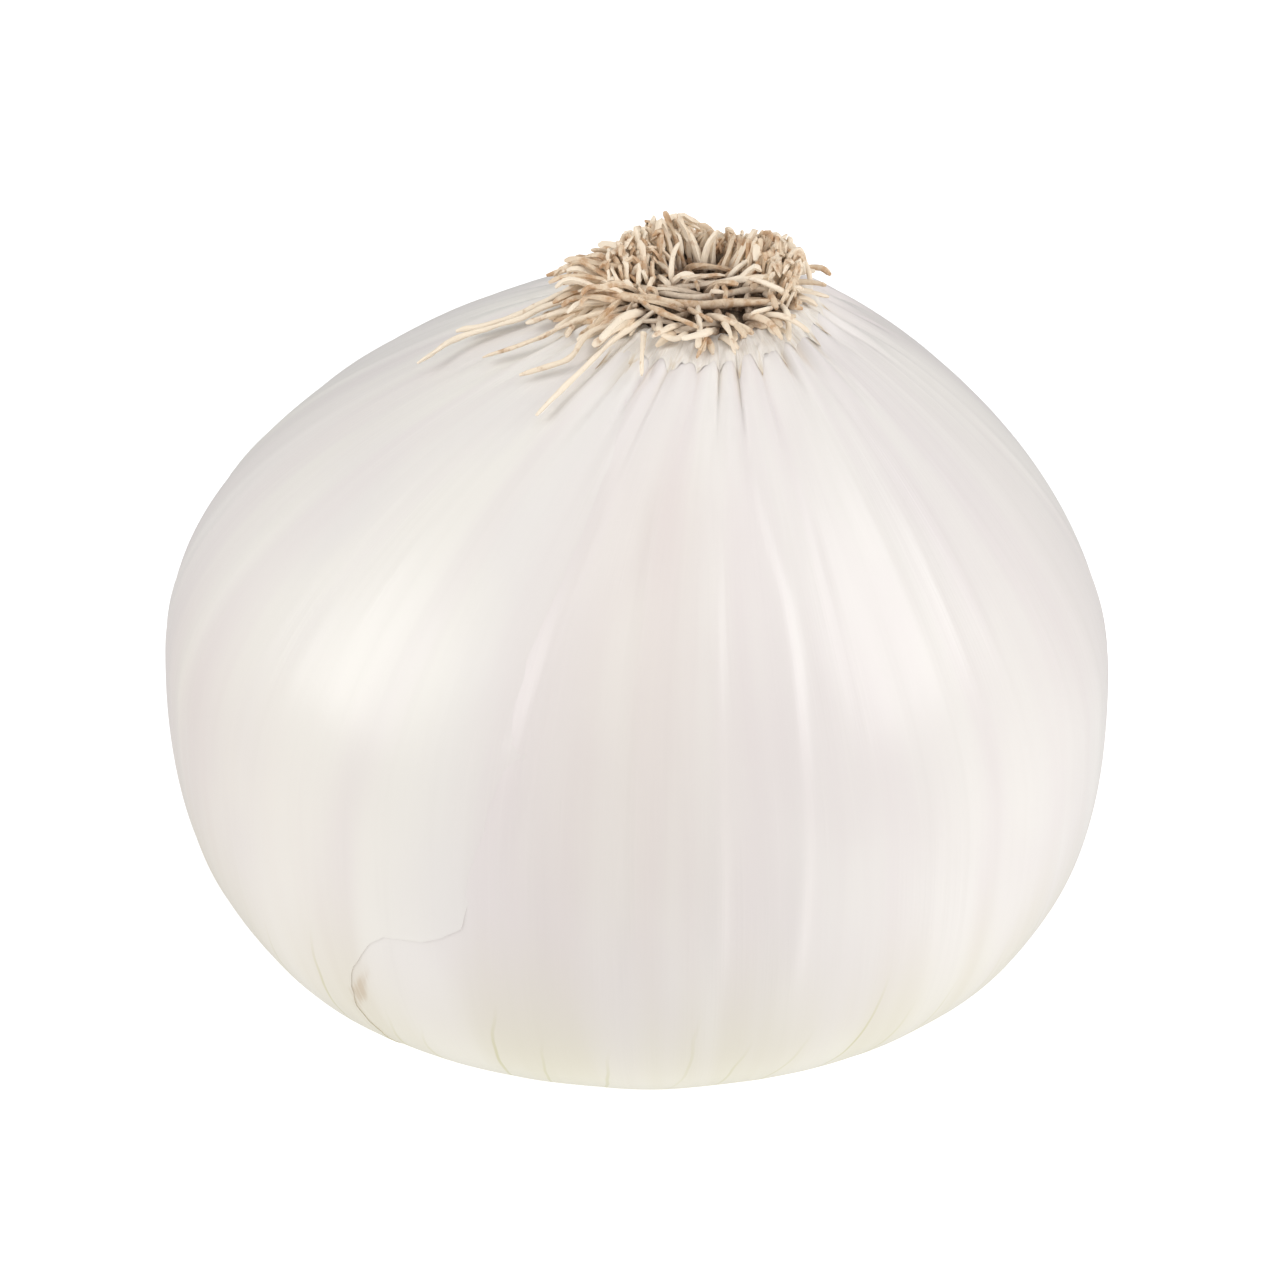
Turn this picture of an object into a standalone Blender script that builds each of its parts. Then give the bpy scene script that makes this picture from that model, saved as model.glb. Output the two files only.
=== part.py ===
"""Onion: one bulb standing root end up on its trimmed neck, with its root plate and dried roots.

World frame: metres, +Z up through the root end, origin at the middle of the flat neck cut.
Azimuths are in degrees from +X, counterclockwise seen from above, so the front is at 270.
"""

import math
import random

import bpy
from mathutils import Vector
from mathutils.kdtree import KDTree

MM = 0.001

# Bulb: heights are above the neck cut
BELLY_RADIUS = 44.0 * MM
BELLY_HEIGHT = 38.5 * MM
BELLY_ABOVE = 17.9 * MM  # how far the side runs up from the belly before it leans in
BELLY_BELOW = 30.1 * MM  # the same downwards
RIM_RADIUS = 8.9 * MM
RIM_HEIGHT = 76.4 * MM
SHOULDER_REACH = 12.0 * MM  # how far the shoulder keeps its first slope from the rim
SHOULDER_SLOPE = math.radians(19.0)
NECK_RADIUS = 9.0 * MM
NECK_LENGTH = 1.7 * MM
FOOT_RADIUS = 7.5 * MM
NECK_REACH = 20.0 * MM  # how far the underside keeps the slope that it leaves the neck with
NECK_SLOPE = math.radians(22.7)

# Crooked growth: sideways places of the belly and of the root end, towards +X from the neck
BELLY_OFFSET = -1.3 * MM
ROOT_END_OFFSET = 4.7 * MM
OFFSET_POWER = 3.1  # high, because only the top of the bulb leans over
BELLY_TILT = math.radians(1.2)  # the belly's ring sits lower on the +X side

# Pleats of the skin around both ends
PLEAT_COUNT = 34
PLEAT_HEIGHT = 0.30 * MM
PLEAT_START = 0.4 * MM  # out from the rim
PLEAT_CREST = 3.5 * MM
PLEAT_END = 15.0 * MM
NECK_PLEAT_HEIGHT = 0.25 * MM
NECK_PLEAT_TOP = 7.0 * MM  # height above the neck cut where the lower pleats have faded

# Root plate in its socket in the top of the bulb
SOCKET_DEPTH = 2.5 * MM
SOCKET_WALL = 0.4 * MM  # skin left between the socket and the rim's edge
SEAT_GAP = 0.3 * MM
PLATE_CROWN = 1.2 * MM  # the middle's rise over the plate's edge
PLATE_CHAMFER = 0.3 * MM

# Dried roots
ROOT_RADIUS = 0.27 * MM
TIP_TAPER = 0.6  # the tip's share of the root's radius
ROOT_GAP = 0.15 * MM  # clear space between two roots
STANDING_ROOTS = 38
STANDING_LENGTH = (4.2 * MM, 8.2 * MM)
STANDING_HEIGHT = 6.6 * MM  # above the rim: no standing root's middle line goes higher
STEP = 0.8 * MM  # distance between two points of a root
GOLDEN_ANGLE = math.radians(137.5)
FOOT_SCATTER = 0.2  # a foot's distance from its place, in radians and as a share of the radius
SWAY = 0.25  # sideways part of a root's first heading, against 1 upwards
EDGE_LEAN = 1.0  # outward part of it at the plate's edge
CURL = 0.16  # change of heading at each step
DROOP = 0.26  # the same, downwards

# Mesh fineness
SEGMENTS = 2 * PLEAT_COUNT
UPPER_RINGS = 16
LOWER_RINGS = 15
PLATE_SEGMENTS = 36
PLATE_RINGS = 5
MERGE = 0.00001

# Roots with a place of their own, point by point from the plate outwards: (azimuth, distance from
# the plate's axis in mm, layer), where layer 0 lies on the skin's pleats and each whole layer is
# one root higher. Most lie over the shoulder or across the plate, and the last three stand tallest.
CHOSEN_ROOTS = (
    ((190, 6.8, 0.6), (178, 12.4, 0.2), (179, 15.2, 0.0), (178, 19.4, 0.0), (182, 22.6, 0.0)),
    ((163, 7.4, 0.5), (171, 12.0, 0.3), (176, 16.0, 0.0), (173, 20.0, 0.0)),
    ((202, 7.6, 0.6), (189, 11.4, 0.3), (184, 14.8, 0.0)),
    ((214, 7.2, 0.3), (199, 11.6, 0.0), (199, 14.4, 0.0), (193, 18.4, 0.0)),
    ((222, 8.2, 0.0), (212, 11.4, 0.0), (218, 14.4, 0.0), (211, 17.2, 0.0)),
    ((230, 7.2, 0.6), (226, 12.4, 0.0), (228, 19.4, 0.0)),
    ((150, 5.6, 0.5), (143, 12.4, 0.2), (145, 15.6, 0.0)),
    ((236, 9.6, 0.1), (250, 13.4, 0.0)),
    ((186, 9.6, 2.0), (214, 6.4, 1.9), (262, 4.6, 1.7), (318, 6.0, 1.8), (332, 6.8, 1.9)),
    ((182, 8.6, 2.3), (202, 5.0, 2.3), (262, 3.2, 2.3), (342, 5.2, 2.2), (358, 9.8, 1.8)),
    ((262, 4.4, 0.0), (268, 7.4, 0.9), (269, 10.2, 0.0)),
    ((226, 5.6, 0.0), (243, 8.8, 0.2), (256, 9.6, 0.4), (261, 8.0, 0.0)),
    ((343, 6.0, 0.2), (327, 8.6, 0.5), (315, 11.2, 0.0)),
    ((112, 3.6, 0.0), (118, 4.4, 4.0), (126, 5.2, 8.2)),
    ((128, 6.0, 0.0), (122, 5.8, 4.2), (110, 5.4, 8.0), (102, 5.8, 8.8)),
    ((146, 4.8, 0.0), (140, 5.6, 4.0), (140, 6.8, 7.4)),
)


def clear_scene():
    """Remove every object that the scene starts with."""
    for item in list(bpy.data.objects):
        bpy.data.objects.remove(item, do_unlink=True)


def make_collection(name):
    """A collection of the scene with this name."""
    collection = bpy.data.collections.new(name)
    bpy.context.scene.collection.children.link(collection)
    return collection


def make_material(name, colour, roughness):
    """A plain Principled material; nothing on an onion is metal."""
    material = bpy.data.materials.new(name)
    material.use_nodes = True
    shader = material.node_tree.nodes["Principled BSDF"]
    shader.inputs["Base Color"].default_value = (*colour, 1.0)
    shader.inputs["Roughness"].default_value = roughness
    shader.inputs["Metallic"].default_value = 0.0
    return material


def smoothstep(low, high, value):
    """Rise from 0 at low to 1 at high with level ends."""
    share = min(max((value - low) / (high - low), 0.0), 1.0)
    return share * share * (3.0 - 2.0 * share)


def bezier(ends, handles, share):
    """Point on a cubic curve between two (radius, height) ends."""
    rest = 1.0 - share
    weights = (rest**3, 3 * rest**2 * share, 3 * rest * share**2, share**3)
    corners = (ends[0], handles[0], handles[1], ends[1])
    radius = sum(w * corner[0] for w, corner in zip(weights, corners))
    height = sum(w * corner[1] for w, corner in zip(weights, corners))
    return radius, height


def upper_outline(share):
    """Outline from the rim (0) to the belly (1) as (radius, height)."""
    rim = (RIM_RADIUS, RIM_HEIGHT)
    belly = (BELLY_RADIUS, BELLY_HEIGHT)
    shoulder = (
        RIM_RADIUS + SHOULDER_REACH * math.cos(SHOULDER_SLOPE),
        RIM_HEIGHT - SHOULDER_REACH * math.sin(SHOULDER_SLOPE),
    )
    side = (BELLY_RADIUS, BELLY_HEIGHT + BELLY_ABOVE)
    return bezier((rim, belly), (shoulder, side), share)


def lower_outline(share):
    """Outline from the belly (0) to the neck (1) as (radius, height)."""
    belly = (BELLY_RADIUS, BELLY_HEIGHT)
    neck = (NECK_RADIUS, NECK_LENGTH)
    side = (BELLY_RADIUS, BELLY_HEIGHT - BELLY_BELOW)
    underside = (
        NECK_RADIUS + NECK_REACH * math.cos(NECK_SLOPE),
        NECK_LENGTH + NECK_REACH * math.sin(NECK_SLOPE),
    )
    return bezier((belly, neck), (side, underside), share)


def plate_radius():
    """Radius of the root plate, which clears the socket's wall all round."""
    return RIM_RADIUS - SOCKET_WALL - SEAT_GAP


def plate_height(distance):
    """Height of the plate's top at a distance from its axis."""
    share = min(distance / plate_radius(), 1.0)
    return RIM_HEIGHT + PLATE_CROWN * (1.0 - share * share)


def sideways(height):
    """Sideways place of the bulb's cross-section at a height."""
    if height <= BELLY_HEIGHT:
        drop = 1.0 - height / BELLY_HEIGHT
        return BELLY_OFFSET * (1.0 - drop * drop)
    rise = min((height - BELLY_HEIGHT) / (RIM_HEIGHT - BELLY_HEIGHT), 1.0)
    return BELLY_OFFSET + (ROOT_END_OFFSET - BELLY_OFFSET) * rise**OFFSET_POWER


def tilt_drop(x, height):
    """How far the tilt of the belly lowers a point."""
    share = min(max(height / RIM_HEIGHT, 0.0), 1.0)
    return x * math.tan(BELLY_TILT) * math.sin(math.pi * share) ** 2


def pleat_rise(radius, height, azimuth):
    """Outward rise of the pleated skin, which is gathered at the root end and at the neck."""
    wave = math.cos(PLEAT_COUNT * azimuth)
    if height > BELLY_HEIGHT:
        out = radius - RIM_RADIUS
        gather = smoothstep(PLEAT_START, PLEAT_CREST, out) * (1.0 - smoothstep(PLEAT_CREST, PLEAT_END, out))
        return PLEAT_HEIGHT * gather * wave
    fade = smoothstep(0.0, NECK_LENGTH, height) * (1.0 - smoothstep(NECK_LENGTH, NECK_PLEAT_TOP, height))
    return NECK_PLEAT_HEIGHT * fade * wave


def grown(radius, height, azimuth, lift=0.0):
    """World point of the bulb's own round coordinates after its crooked growth.

    The lift is measured away from the bulb's middle.
    """
    x = radius * math.cos(azimuth)
    y = radius * math.sin(azimuth)
    outward = Vector((x, y, height - BELLY_HEIGHT)).normalized()
    point = Vector((x, y, height - tilt_drop(x, height))) + outward * lift
    point.x += sideways(height)
    return point


def shoulder_height(distance):
    """Height of the plate or of the shoulder's outline at a distance from the axis."""
    if distance <= plate_radius():
        return plate_height(distance)
    if distance <= RIM_RADIUS:
        return RIM_HEIGHT
    low = 0.0
    high = 1.0
    for _ in range(30):
        middle = (low + high) / 2.0
        if upper_outline(middle)[0] < distance:
            low = middle
        else:
            high = middle
    return upper_outline(low)[1]


def shoulder_point(azimuth, distance, lift):
    """World point above the plate or the shoulder; the azimuth is in degrees."""
    return grown(distance, shoulder_height(distance), math.radians(azimuth), lift)


def turned_mesh(name, outline, segments):
    """Closed mesh of a profile of (radius, height) points turned about the Z axis."""
    profile = bpy.data.meshes.new(name + "_profile")
    points = [(radius, 0.0, height) for radius, height in outline]
    edges = [(i, i + 1) for i in range(len(points) - 1)]
    profile.from_pydata(points, edges, [])
    blank = bpy.data.objects.new(name + "_blank", profile)
    bpy.context.scene.collection.objects.link(blank)
    screw = blank.modifiers.new("turn", "SCREW")
    screw.steps = segments
    screw.render_steps = segments
    screw.use_merge_vertices = True
    screw.merge_threshold = MERGE
    depsgraph = bpy.context.evaluated_depsgraph_get()
    mesh = bpy.data.meshes.new_from_object(blank.evaluated_get(depsgraph))
    bpy.data.objects.remove(blank, do_unlink=True)
    bpy.data.meshes.remove(profile)
    mesh.name = name
    return mesh


def place_mesh(name, mesh, material, collection):
    """Put a finished mesh in the collection, shaded smooth apart from its real edges."""
    mesh.materials.clear()
    mesh.materials.append(material)
    mesh.shade_smooth()
    mesh.set_sharp_from_angle(angle=math.radians(40.0))
    item = bpy.data.objects.new(name, mesh)
    collection.objects.link(item)
    return item


def bulb_outline():
    """Profile from the socket's middle over the rim, shoulder, belly and neck to the foot."""
    floor = RIM_HEIGHT - SOCKET_DEPTH
    inner = RIM_RADIUS - SOCKET_WALL
    outline = [(0.0, floor), (inner, floor), (inner, RIM_HEIGHT - SOCKET_WALL)]
    outline += [upper_outline(i / UPPER_RINGS) for i in range(UPPER_RINGS)]
    outline += [lower_outline(i / LOWER_RINGS) for i in range(LOWER_RINGS + 1)]
    outline += [(FOOT_RADIUS, 0.0), (0.0, 0.0)]
    return outline


def make_bulb(collection):
    """The bulb, one solid, crooked and pleated as it grew."""
    mesh = turned_mesh("bulb", bulb_outline(), SEGMENTS)
    for vertex in mesh.vertices:
        x, y, height = vertex.co
        radius = math.hypot(x, y)
        azimuth = math.atan2(y, x)
        vertex.co = grown(radius, height, azimuth, pleat_rise(radius, height, azimuth))
    material = make_material("bulb_skin", (0.84, 0.81, 0.76), 0.35)
    return place_mesh("bulb", mesh, material, collection)


def plate_outline():
    """Profile of the root plate: domed top, chamfered edge and flat underside."""
    radius = plate_radius()
    base = RIM_HEIGHT - SOCKET_DEPTH + SEAT_GAP
    inside = radius - PLATE_CHAMFER
    rings = [inside * i / PLATE_RINGS for i in range(PLATE_RINGS + 1)]
    outline = [(ring, plate_height(ring)) for ring in rings]
    outline += [(radius, RIM_HEIGHT - PLATE_CHAMFER), (radius, base), (0.0, base)]
    return outline


def make_root_plate(collection):
    """The corky root plate, seated in the socket with a gap all round."""
    mesh = turned_mesh("root_plate", plate_outline(), PLATE_SEGMENTS)
    for vertex in mesh.vertices:
        x, y, height = vertex.co
        vertex.co = grown(math.hypot(x, y), height, math.atan2(y, x))
    material = make_material("root_plate_cork", (0.33, 0.25, 0.17), 0.9)
    return place_mesh("root_plate", mesh, material, collection)


def smooth_path(knots):
    """Points about a step apart on a smooth curve through the knots (Catmull-Rom)."""
    ends = [2 * knots[0] - knots[1]] + list(knots) + [2 * knots[-1] - knots[-2]]
    points = [knots[0]]
    for i in range(1, len(ends) - 2):
        before, start, end, after = ends[i - 1 : i + 3]
        count = max(round((end - start).length / (1.5 * STEP)), 1)
        for j in range(1, count + 1):
            t = j / count
            bend = (end - before) + t * (2 * before - 5 * start + 4 * end - after)
            bend += t * t * (3 * start - before - 3 * end + after)
            points.append(start + 0.5 * t * bend)
    return points


def chosen_path(waypoints):
    """Path of a root with a place of its own."""
    on_skin = PLEAT_HEIGHT + SEAT_GAP + ROOT_RADIUS
    layer_height = 2 * ROOT_RADIUS + ROOT_GAP
    knots = []
    for azimuth, distance, layer in waypoints:
        knots.append(shoulder_point(azimuth, distance * MM, on_skin + layer * layer_height))
    return smooth_path(knots)


def standing_path(number, chance):
    """Path of a short root that rises from the plate, leans outwards and curls.

    The roots' feet follow a sunflower spiral, a little scattered, so they cover the plate evenly.
    """
    azimuth = number * GOLDEN_ANGLE + chance.gauss(0.0, FOOT_SCATTER)
    share = min(math.sqrt((number + 0.5) / STANDING_ROOTS) + chance.uniform(0.0, FOOT_SCATTER), 1.0)
    distance = (plate_radius() - 2 * ROOT_RADIUS) * share
    point = grown(distance, plate_height(distance), azimuth, ROOT_RADIUS + SEAT_GAP)
    outward = Vector((math.cos(azimuth), math.sin(azimuth), 0.0))
    heading = Vector((chance.gauss(0, SWAY), chance.gauss(0, SWAY), 1.0)) + outward * EDGE_LEAN * share
    turn = Vector((chance.gauss(0, CURL), chance.gauss(0, CURL), chance.uniform(-DROOP, 0.0)))
    points = [point]
    for _ in range(round(chance.uniform(*STANDING_LENGTH) / STEP)):
        heading = (heading.normalized() + turn).normalized()
        point = point + heading * STEP
        points.append(point)
    return points


def dense(path):
    """Points close enough together to measure clearances between paths."""
    points = [path[0]]
    for start, end in zip(path, path[1:]):
        count = max(math.ceil((end - start).length / ROOT_RADIUS), 1)
        points += [start.lerp(end, j / count) for j in range(1, count + 1)]
    return points


def clears_skin(point):
    """Whether a root's middle line here stays above the plate and the pleated shoulder."""
    x = point.x - ROOT_END_OFFSET
    distance = math.hypot(x, point.y)
    lift = ROOT_RADIUS + SEAT_GAP
    if distance > plate_radius() - ROOT_RADIUS:
        lift += PLEAT_HEIGHT
    ceiling = RIM_HEIGHT + STANDING_HEIGHT
    return shoulder_height(distance) + lift * 0.99 <= point.z <= ceiling


def clears_roots(points, placed):
    """Whether a path keeps its gap to every root placed before it."""
    if not placed:
        return True
    tree = KDTree(len(placed))
    for index, point in enumerate(placed):
        tree.insert(point, index)
    tree.balance()
    clearance = 2 * ROOT_RADIUS + ROOT_GAP
    return all(tree.find(point)[2] >= clearance + ROOT_RADIUS / 2 for point in points)


def root_paths():
    """Paths of all roots: first the chosen ones, then the short ones that stand between them."""
    chance = random.Random(11)
    paths = [chosen_path(waypoints) for waypoints in CHOSEN_ROOTS]
    placed = [point for path in paths for point in dense(path)]
    while len(paths) < len(CHOSEN_ROOTS) + STANDING_ROOTS:
        path = standing_path(len(paths) - len(CHOSEN_ROOTS), chance)
        points = dense(path)
        if all(clears_skin(point) for point in points) and clears_roots(points, placed):
            paths.append(path)
            placed += points
    return paths


def make_root(name, path, material, collection):
    """One dried root: a tube along its path that thins towards the tip."""
    curve = bpy.data.curves.new(name, "CURVE")
    curve.dimensions = "3D"
    curve.bevel_depth = ROOT_RADIUS
    curve.bevel_resolution = 1
    curve.use_fill_caps = True
    spline = curve.splines.new("POLY")
    spline.points.add(len(path) - 1)
    for index, point in enumerate(path):
        share = index / (len(path) - 1)
        spline.points[index].co = (*point, 1.0)
        spline.points[index].radius = 1.0 + (TIP_TAPER - 1.0) * share
    curve.materials.append(material)
    item = bpy.data.objects.new(name, curve)
    collection.objects.link(item)
    return item


def make_roots(collection):
    """All roots, each its own piece."""
    material = make_material("dried_root", (0.68, 0.58, 0.44), 0.8)
    for number, path in enumerate(root_paths(), start=1):
        make_root(f"root_{number:02d}", path, material, collection)


def main():
    """Build the onion."""
    clear_scene()
    onion = make_collection("onion")
    make_bulb(onion)
    make_root_plate(onion)
    make_roots(onion)


main()
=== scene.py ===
"""White onion standing on its trimmed neck: skin, torn outer layer, collar, root plate and roots.

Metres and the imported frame's own axes: +Z runs up through the root end and the front looks to -Y.
Azimuths are counterclockwise from +X seen from above, and a run is a distance along the bulb's
outline from the rim of the root end down to the neck.
"""

import logging
import math
import random
from bisect import bisect_right
from collections.abc import Callable, Iterable, Iterator, Sequence
from contextlib import contextmanager
from dataclasses import dataclass, field
from enum import Enum
from functools import cached_property

import bpy
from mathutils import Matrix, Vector, noise
from mathutils.kdtree import KDTree


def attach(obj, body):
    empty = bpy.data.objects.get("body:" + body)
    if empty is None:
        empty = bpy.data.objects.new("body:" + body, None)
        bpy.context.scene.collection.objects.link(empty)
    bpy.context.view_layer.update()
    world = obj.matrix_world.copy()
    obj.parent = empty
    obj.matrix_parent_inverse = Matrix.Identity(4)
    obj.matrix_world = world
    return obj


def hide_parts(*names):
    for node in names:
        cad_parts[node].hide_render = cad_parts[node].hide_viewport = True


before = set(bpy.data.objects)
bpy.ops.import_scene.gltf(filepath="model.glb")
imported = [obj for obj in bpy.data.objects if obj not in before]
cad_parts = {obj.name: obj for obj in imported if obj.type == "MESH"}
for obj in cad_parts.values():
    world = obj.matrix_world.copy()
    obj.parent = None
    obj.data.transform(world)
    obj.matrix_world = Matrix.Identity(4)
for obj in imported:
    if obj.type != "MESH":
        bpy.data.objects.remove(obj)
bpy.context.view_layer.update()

LOG = logging.getLogger("onion")
MM = 0.001
TURN = 2.0 * math.pi
WELD = 0.001 * MM

Colour = tuple[float, float, float]
Span = tuple[float, float]
Waypoints = tuple[tuple[float, float, float], ...]
Line = tuple[Span, ...]
Ring = tuple[float, float, float, float]
Socket = bpy.types.NodeSocket


def smoothstep(low: float, high: float, value: float) -> float:
    """Rise from 0 at low to 1 at high with level ends.

    Args:
        low: Value at which the rise starts.
        high: Value at which it is complete.
        value: Where to read the rise.

    Returns:
        The share of the rise, from 0 to 1.
    """
    share = min(max((value - low) / (high - low), 0.0), 1.0)
    return share * share * (3.0 - 2.0 * share)


def between(line: Line, place: float) -> float:
    """Read a value off a line of (place, value) points.

    Args:
        line: Points in order of place.
        place: Where to read.

    Returns:
        The value, held level beyond both ends.
    """
    if place <= line[0][0]:
        return line[0][1]
    for (start, low), (end, high) in zip(line, line[1:]):
        if place <= end:
            return low + (high - low) * (place - start) / (end - start)
    return line[-1][1]


def bump(distance: float, width: float) -> float:
    """Round bump, 1 in the middle and near 0 beyond twice its width."""
    share = distance / width
    return math.exp(-share * share) if abs(share) < 3.0 else 0.0


def plateau(value: float, rise: Span, fall: Span) -> float:
    """Share that rises over the first span, stays at 1 and falls over the second."""
    return smoothstep(*rise, value) * (1.0 - smoothstep(*fall, value))


def turned(degrees: float, middle: float) -> float:
    """Turn in degrees from the middle, from -180 to 180."""
    return (degrees - middle + 180.0) % 360.0 - 180.0


def wrapped(place: float) -> float:
    """Angle of a place from -1 to 1 on a grid whose two borders meet."""
    return math.pi * (place if place < 1.0 else -1.0)


@dataclass(frozen=True)
class Wave:
    """One noise that closes round the bulb.

    Attributes:
        around: Waves round the bulb.
        along: Waves down it.
        shift: Keeps the wave apart from the others.
        height: Its greatest height.
    """

    around: float
    along: float = 0.0
    shift: float = 0.0
    height: float = 1.0

    def at(self, azimuth: float, down: float = 0.0) -> float:
        """Height of the wave.

        Args:
            azimuth: In radians.
            down: Place along the outline.

        Returns:
            The height there.
        """
        x, y = math.cos(azimuth) * self.around, math.sin(azimuth) * self.around
        return self.height * noise.noise(Vector((x, y, down * self.along + self.shift)))


def ripple(run: float, pace: float, lane: Span) -> float:
    """Noise along a run, with a lane of its own."""
    return noise.noise(Vector((run * pace, *lane)))


def compass(azimuth: float) -> tuple[Vector, Vector]:
    """Level directions outwards and round the bulb at an azimuth in radians."""
    outward = Vector((math.cos(azimuth), math.sin(azimuth), 0.0))
    return outward, Vector((-outward.y, outward.x, 0.0))


def deselect() -> None:
    """Leave nothing selected, because a new primitive must be alone."""
    bpy.ops.object.select_all(action="DESELECT")


def new_grid(name: str, across: int, along: int, size: float = 2.0) -> bpy.types.Object:
    """Add a flat grid to shape.

    Args:
        name: The piece's name.
        across: Faces in x.
        along: Faces in y.
        size: Its side, from -1 to 1 unless told otherwise.

    Returns:
        The grid's object.
    """
    deselect()
    bpy.ops.mesh.primitive_grid_add(x_subdivisions=across, y_subdivisions=along, size=size)
    piece = bpy.context.active_object
    piece.name = name
    return piece


@contextmanager
def editing(piece: bpy.types.Object) -> Iterator[None]:
    """Work on the whole mesh of a piece in edit mode."""
    deselect()
    piece.select_set(True)
    bpy.context.view_layer.objects.active = piece
    bpy.ops.object.mode_set(mode="EDIT")
    bpy.ops.mesh.select_all(action="SELECT")
    yield
    bpy.ops.object.mode_set(mode="OBJECT")


def finish_mesh(piece: bpy.types.Object, angle: float) -> None:
    """Turn the faces outwards and shade the piece smooth apart from its real edges.

    Args:
        piece: A mesh object at the origin.
        angle: Degrees past which an edge stays sharp.
    """
    with editing(piece):
        bpy.ops.mesh.normals_make_consistent(inside=False)
    bpy.ops.object.shade_smooth_by_angle(angle=math.radians(angle))
    deselect()


def close_seams(piece: bpy.types.Object) -> None:
    """Join a wrapped grid where its borders meet."""
    with editing(piece):
        bpy.ops.mesh.remove_doubles(threshold=WELD)


def coat(piece: bpy.types.Object, material: bpy.types.Material) -> None:
    """Give a piece one material."""
    piece.data.materials.clear()
    piece.data.materials.append(material)


def store(mesh: bpy.types.Mesh, name: str, values: Sequence[float]) -> None:
    """Keep one number per vertex for a finish to read.

    Args:
        mesh: The mesh that gets the attribute.
        name: The attribute's name.
        values: One number for each vertex.
    """
    mesh.attributes.new(name, "FLOAT", "POINT").data.foreach_set("value", values)


def store_vectors(mesh: bpy.types.Mesh, name: str, values: Iterable[Sequence[float]]) -> None:
    """Keep one vector per vertex for a finish to read.

    Args:
        mesh: The mesh that gets the attribute.
        name: The attribute's name.
        values: One vector for each vertex.
    """
    flat = [part for value in values for part in value]
    mesh.attributes.new(name, "FLOAT_VECTOR", "POINT").data.foreach_set("vector", flat)


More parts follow.
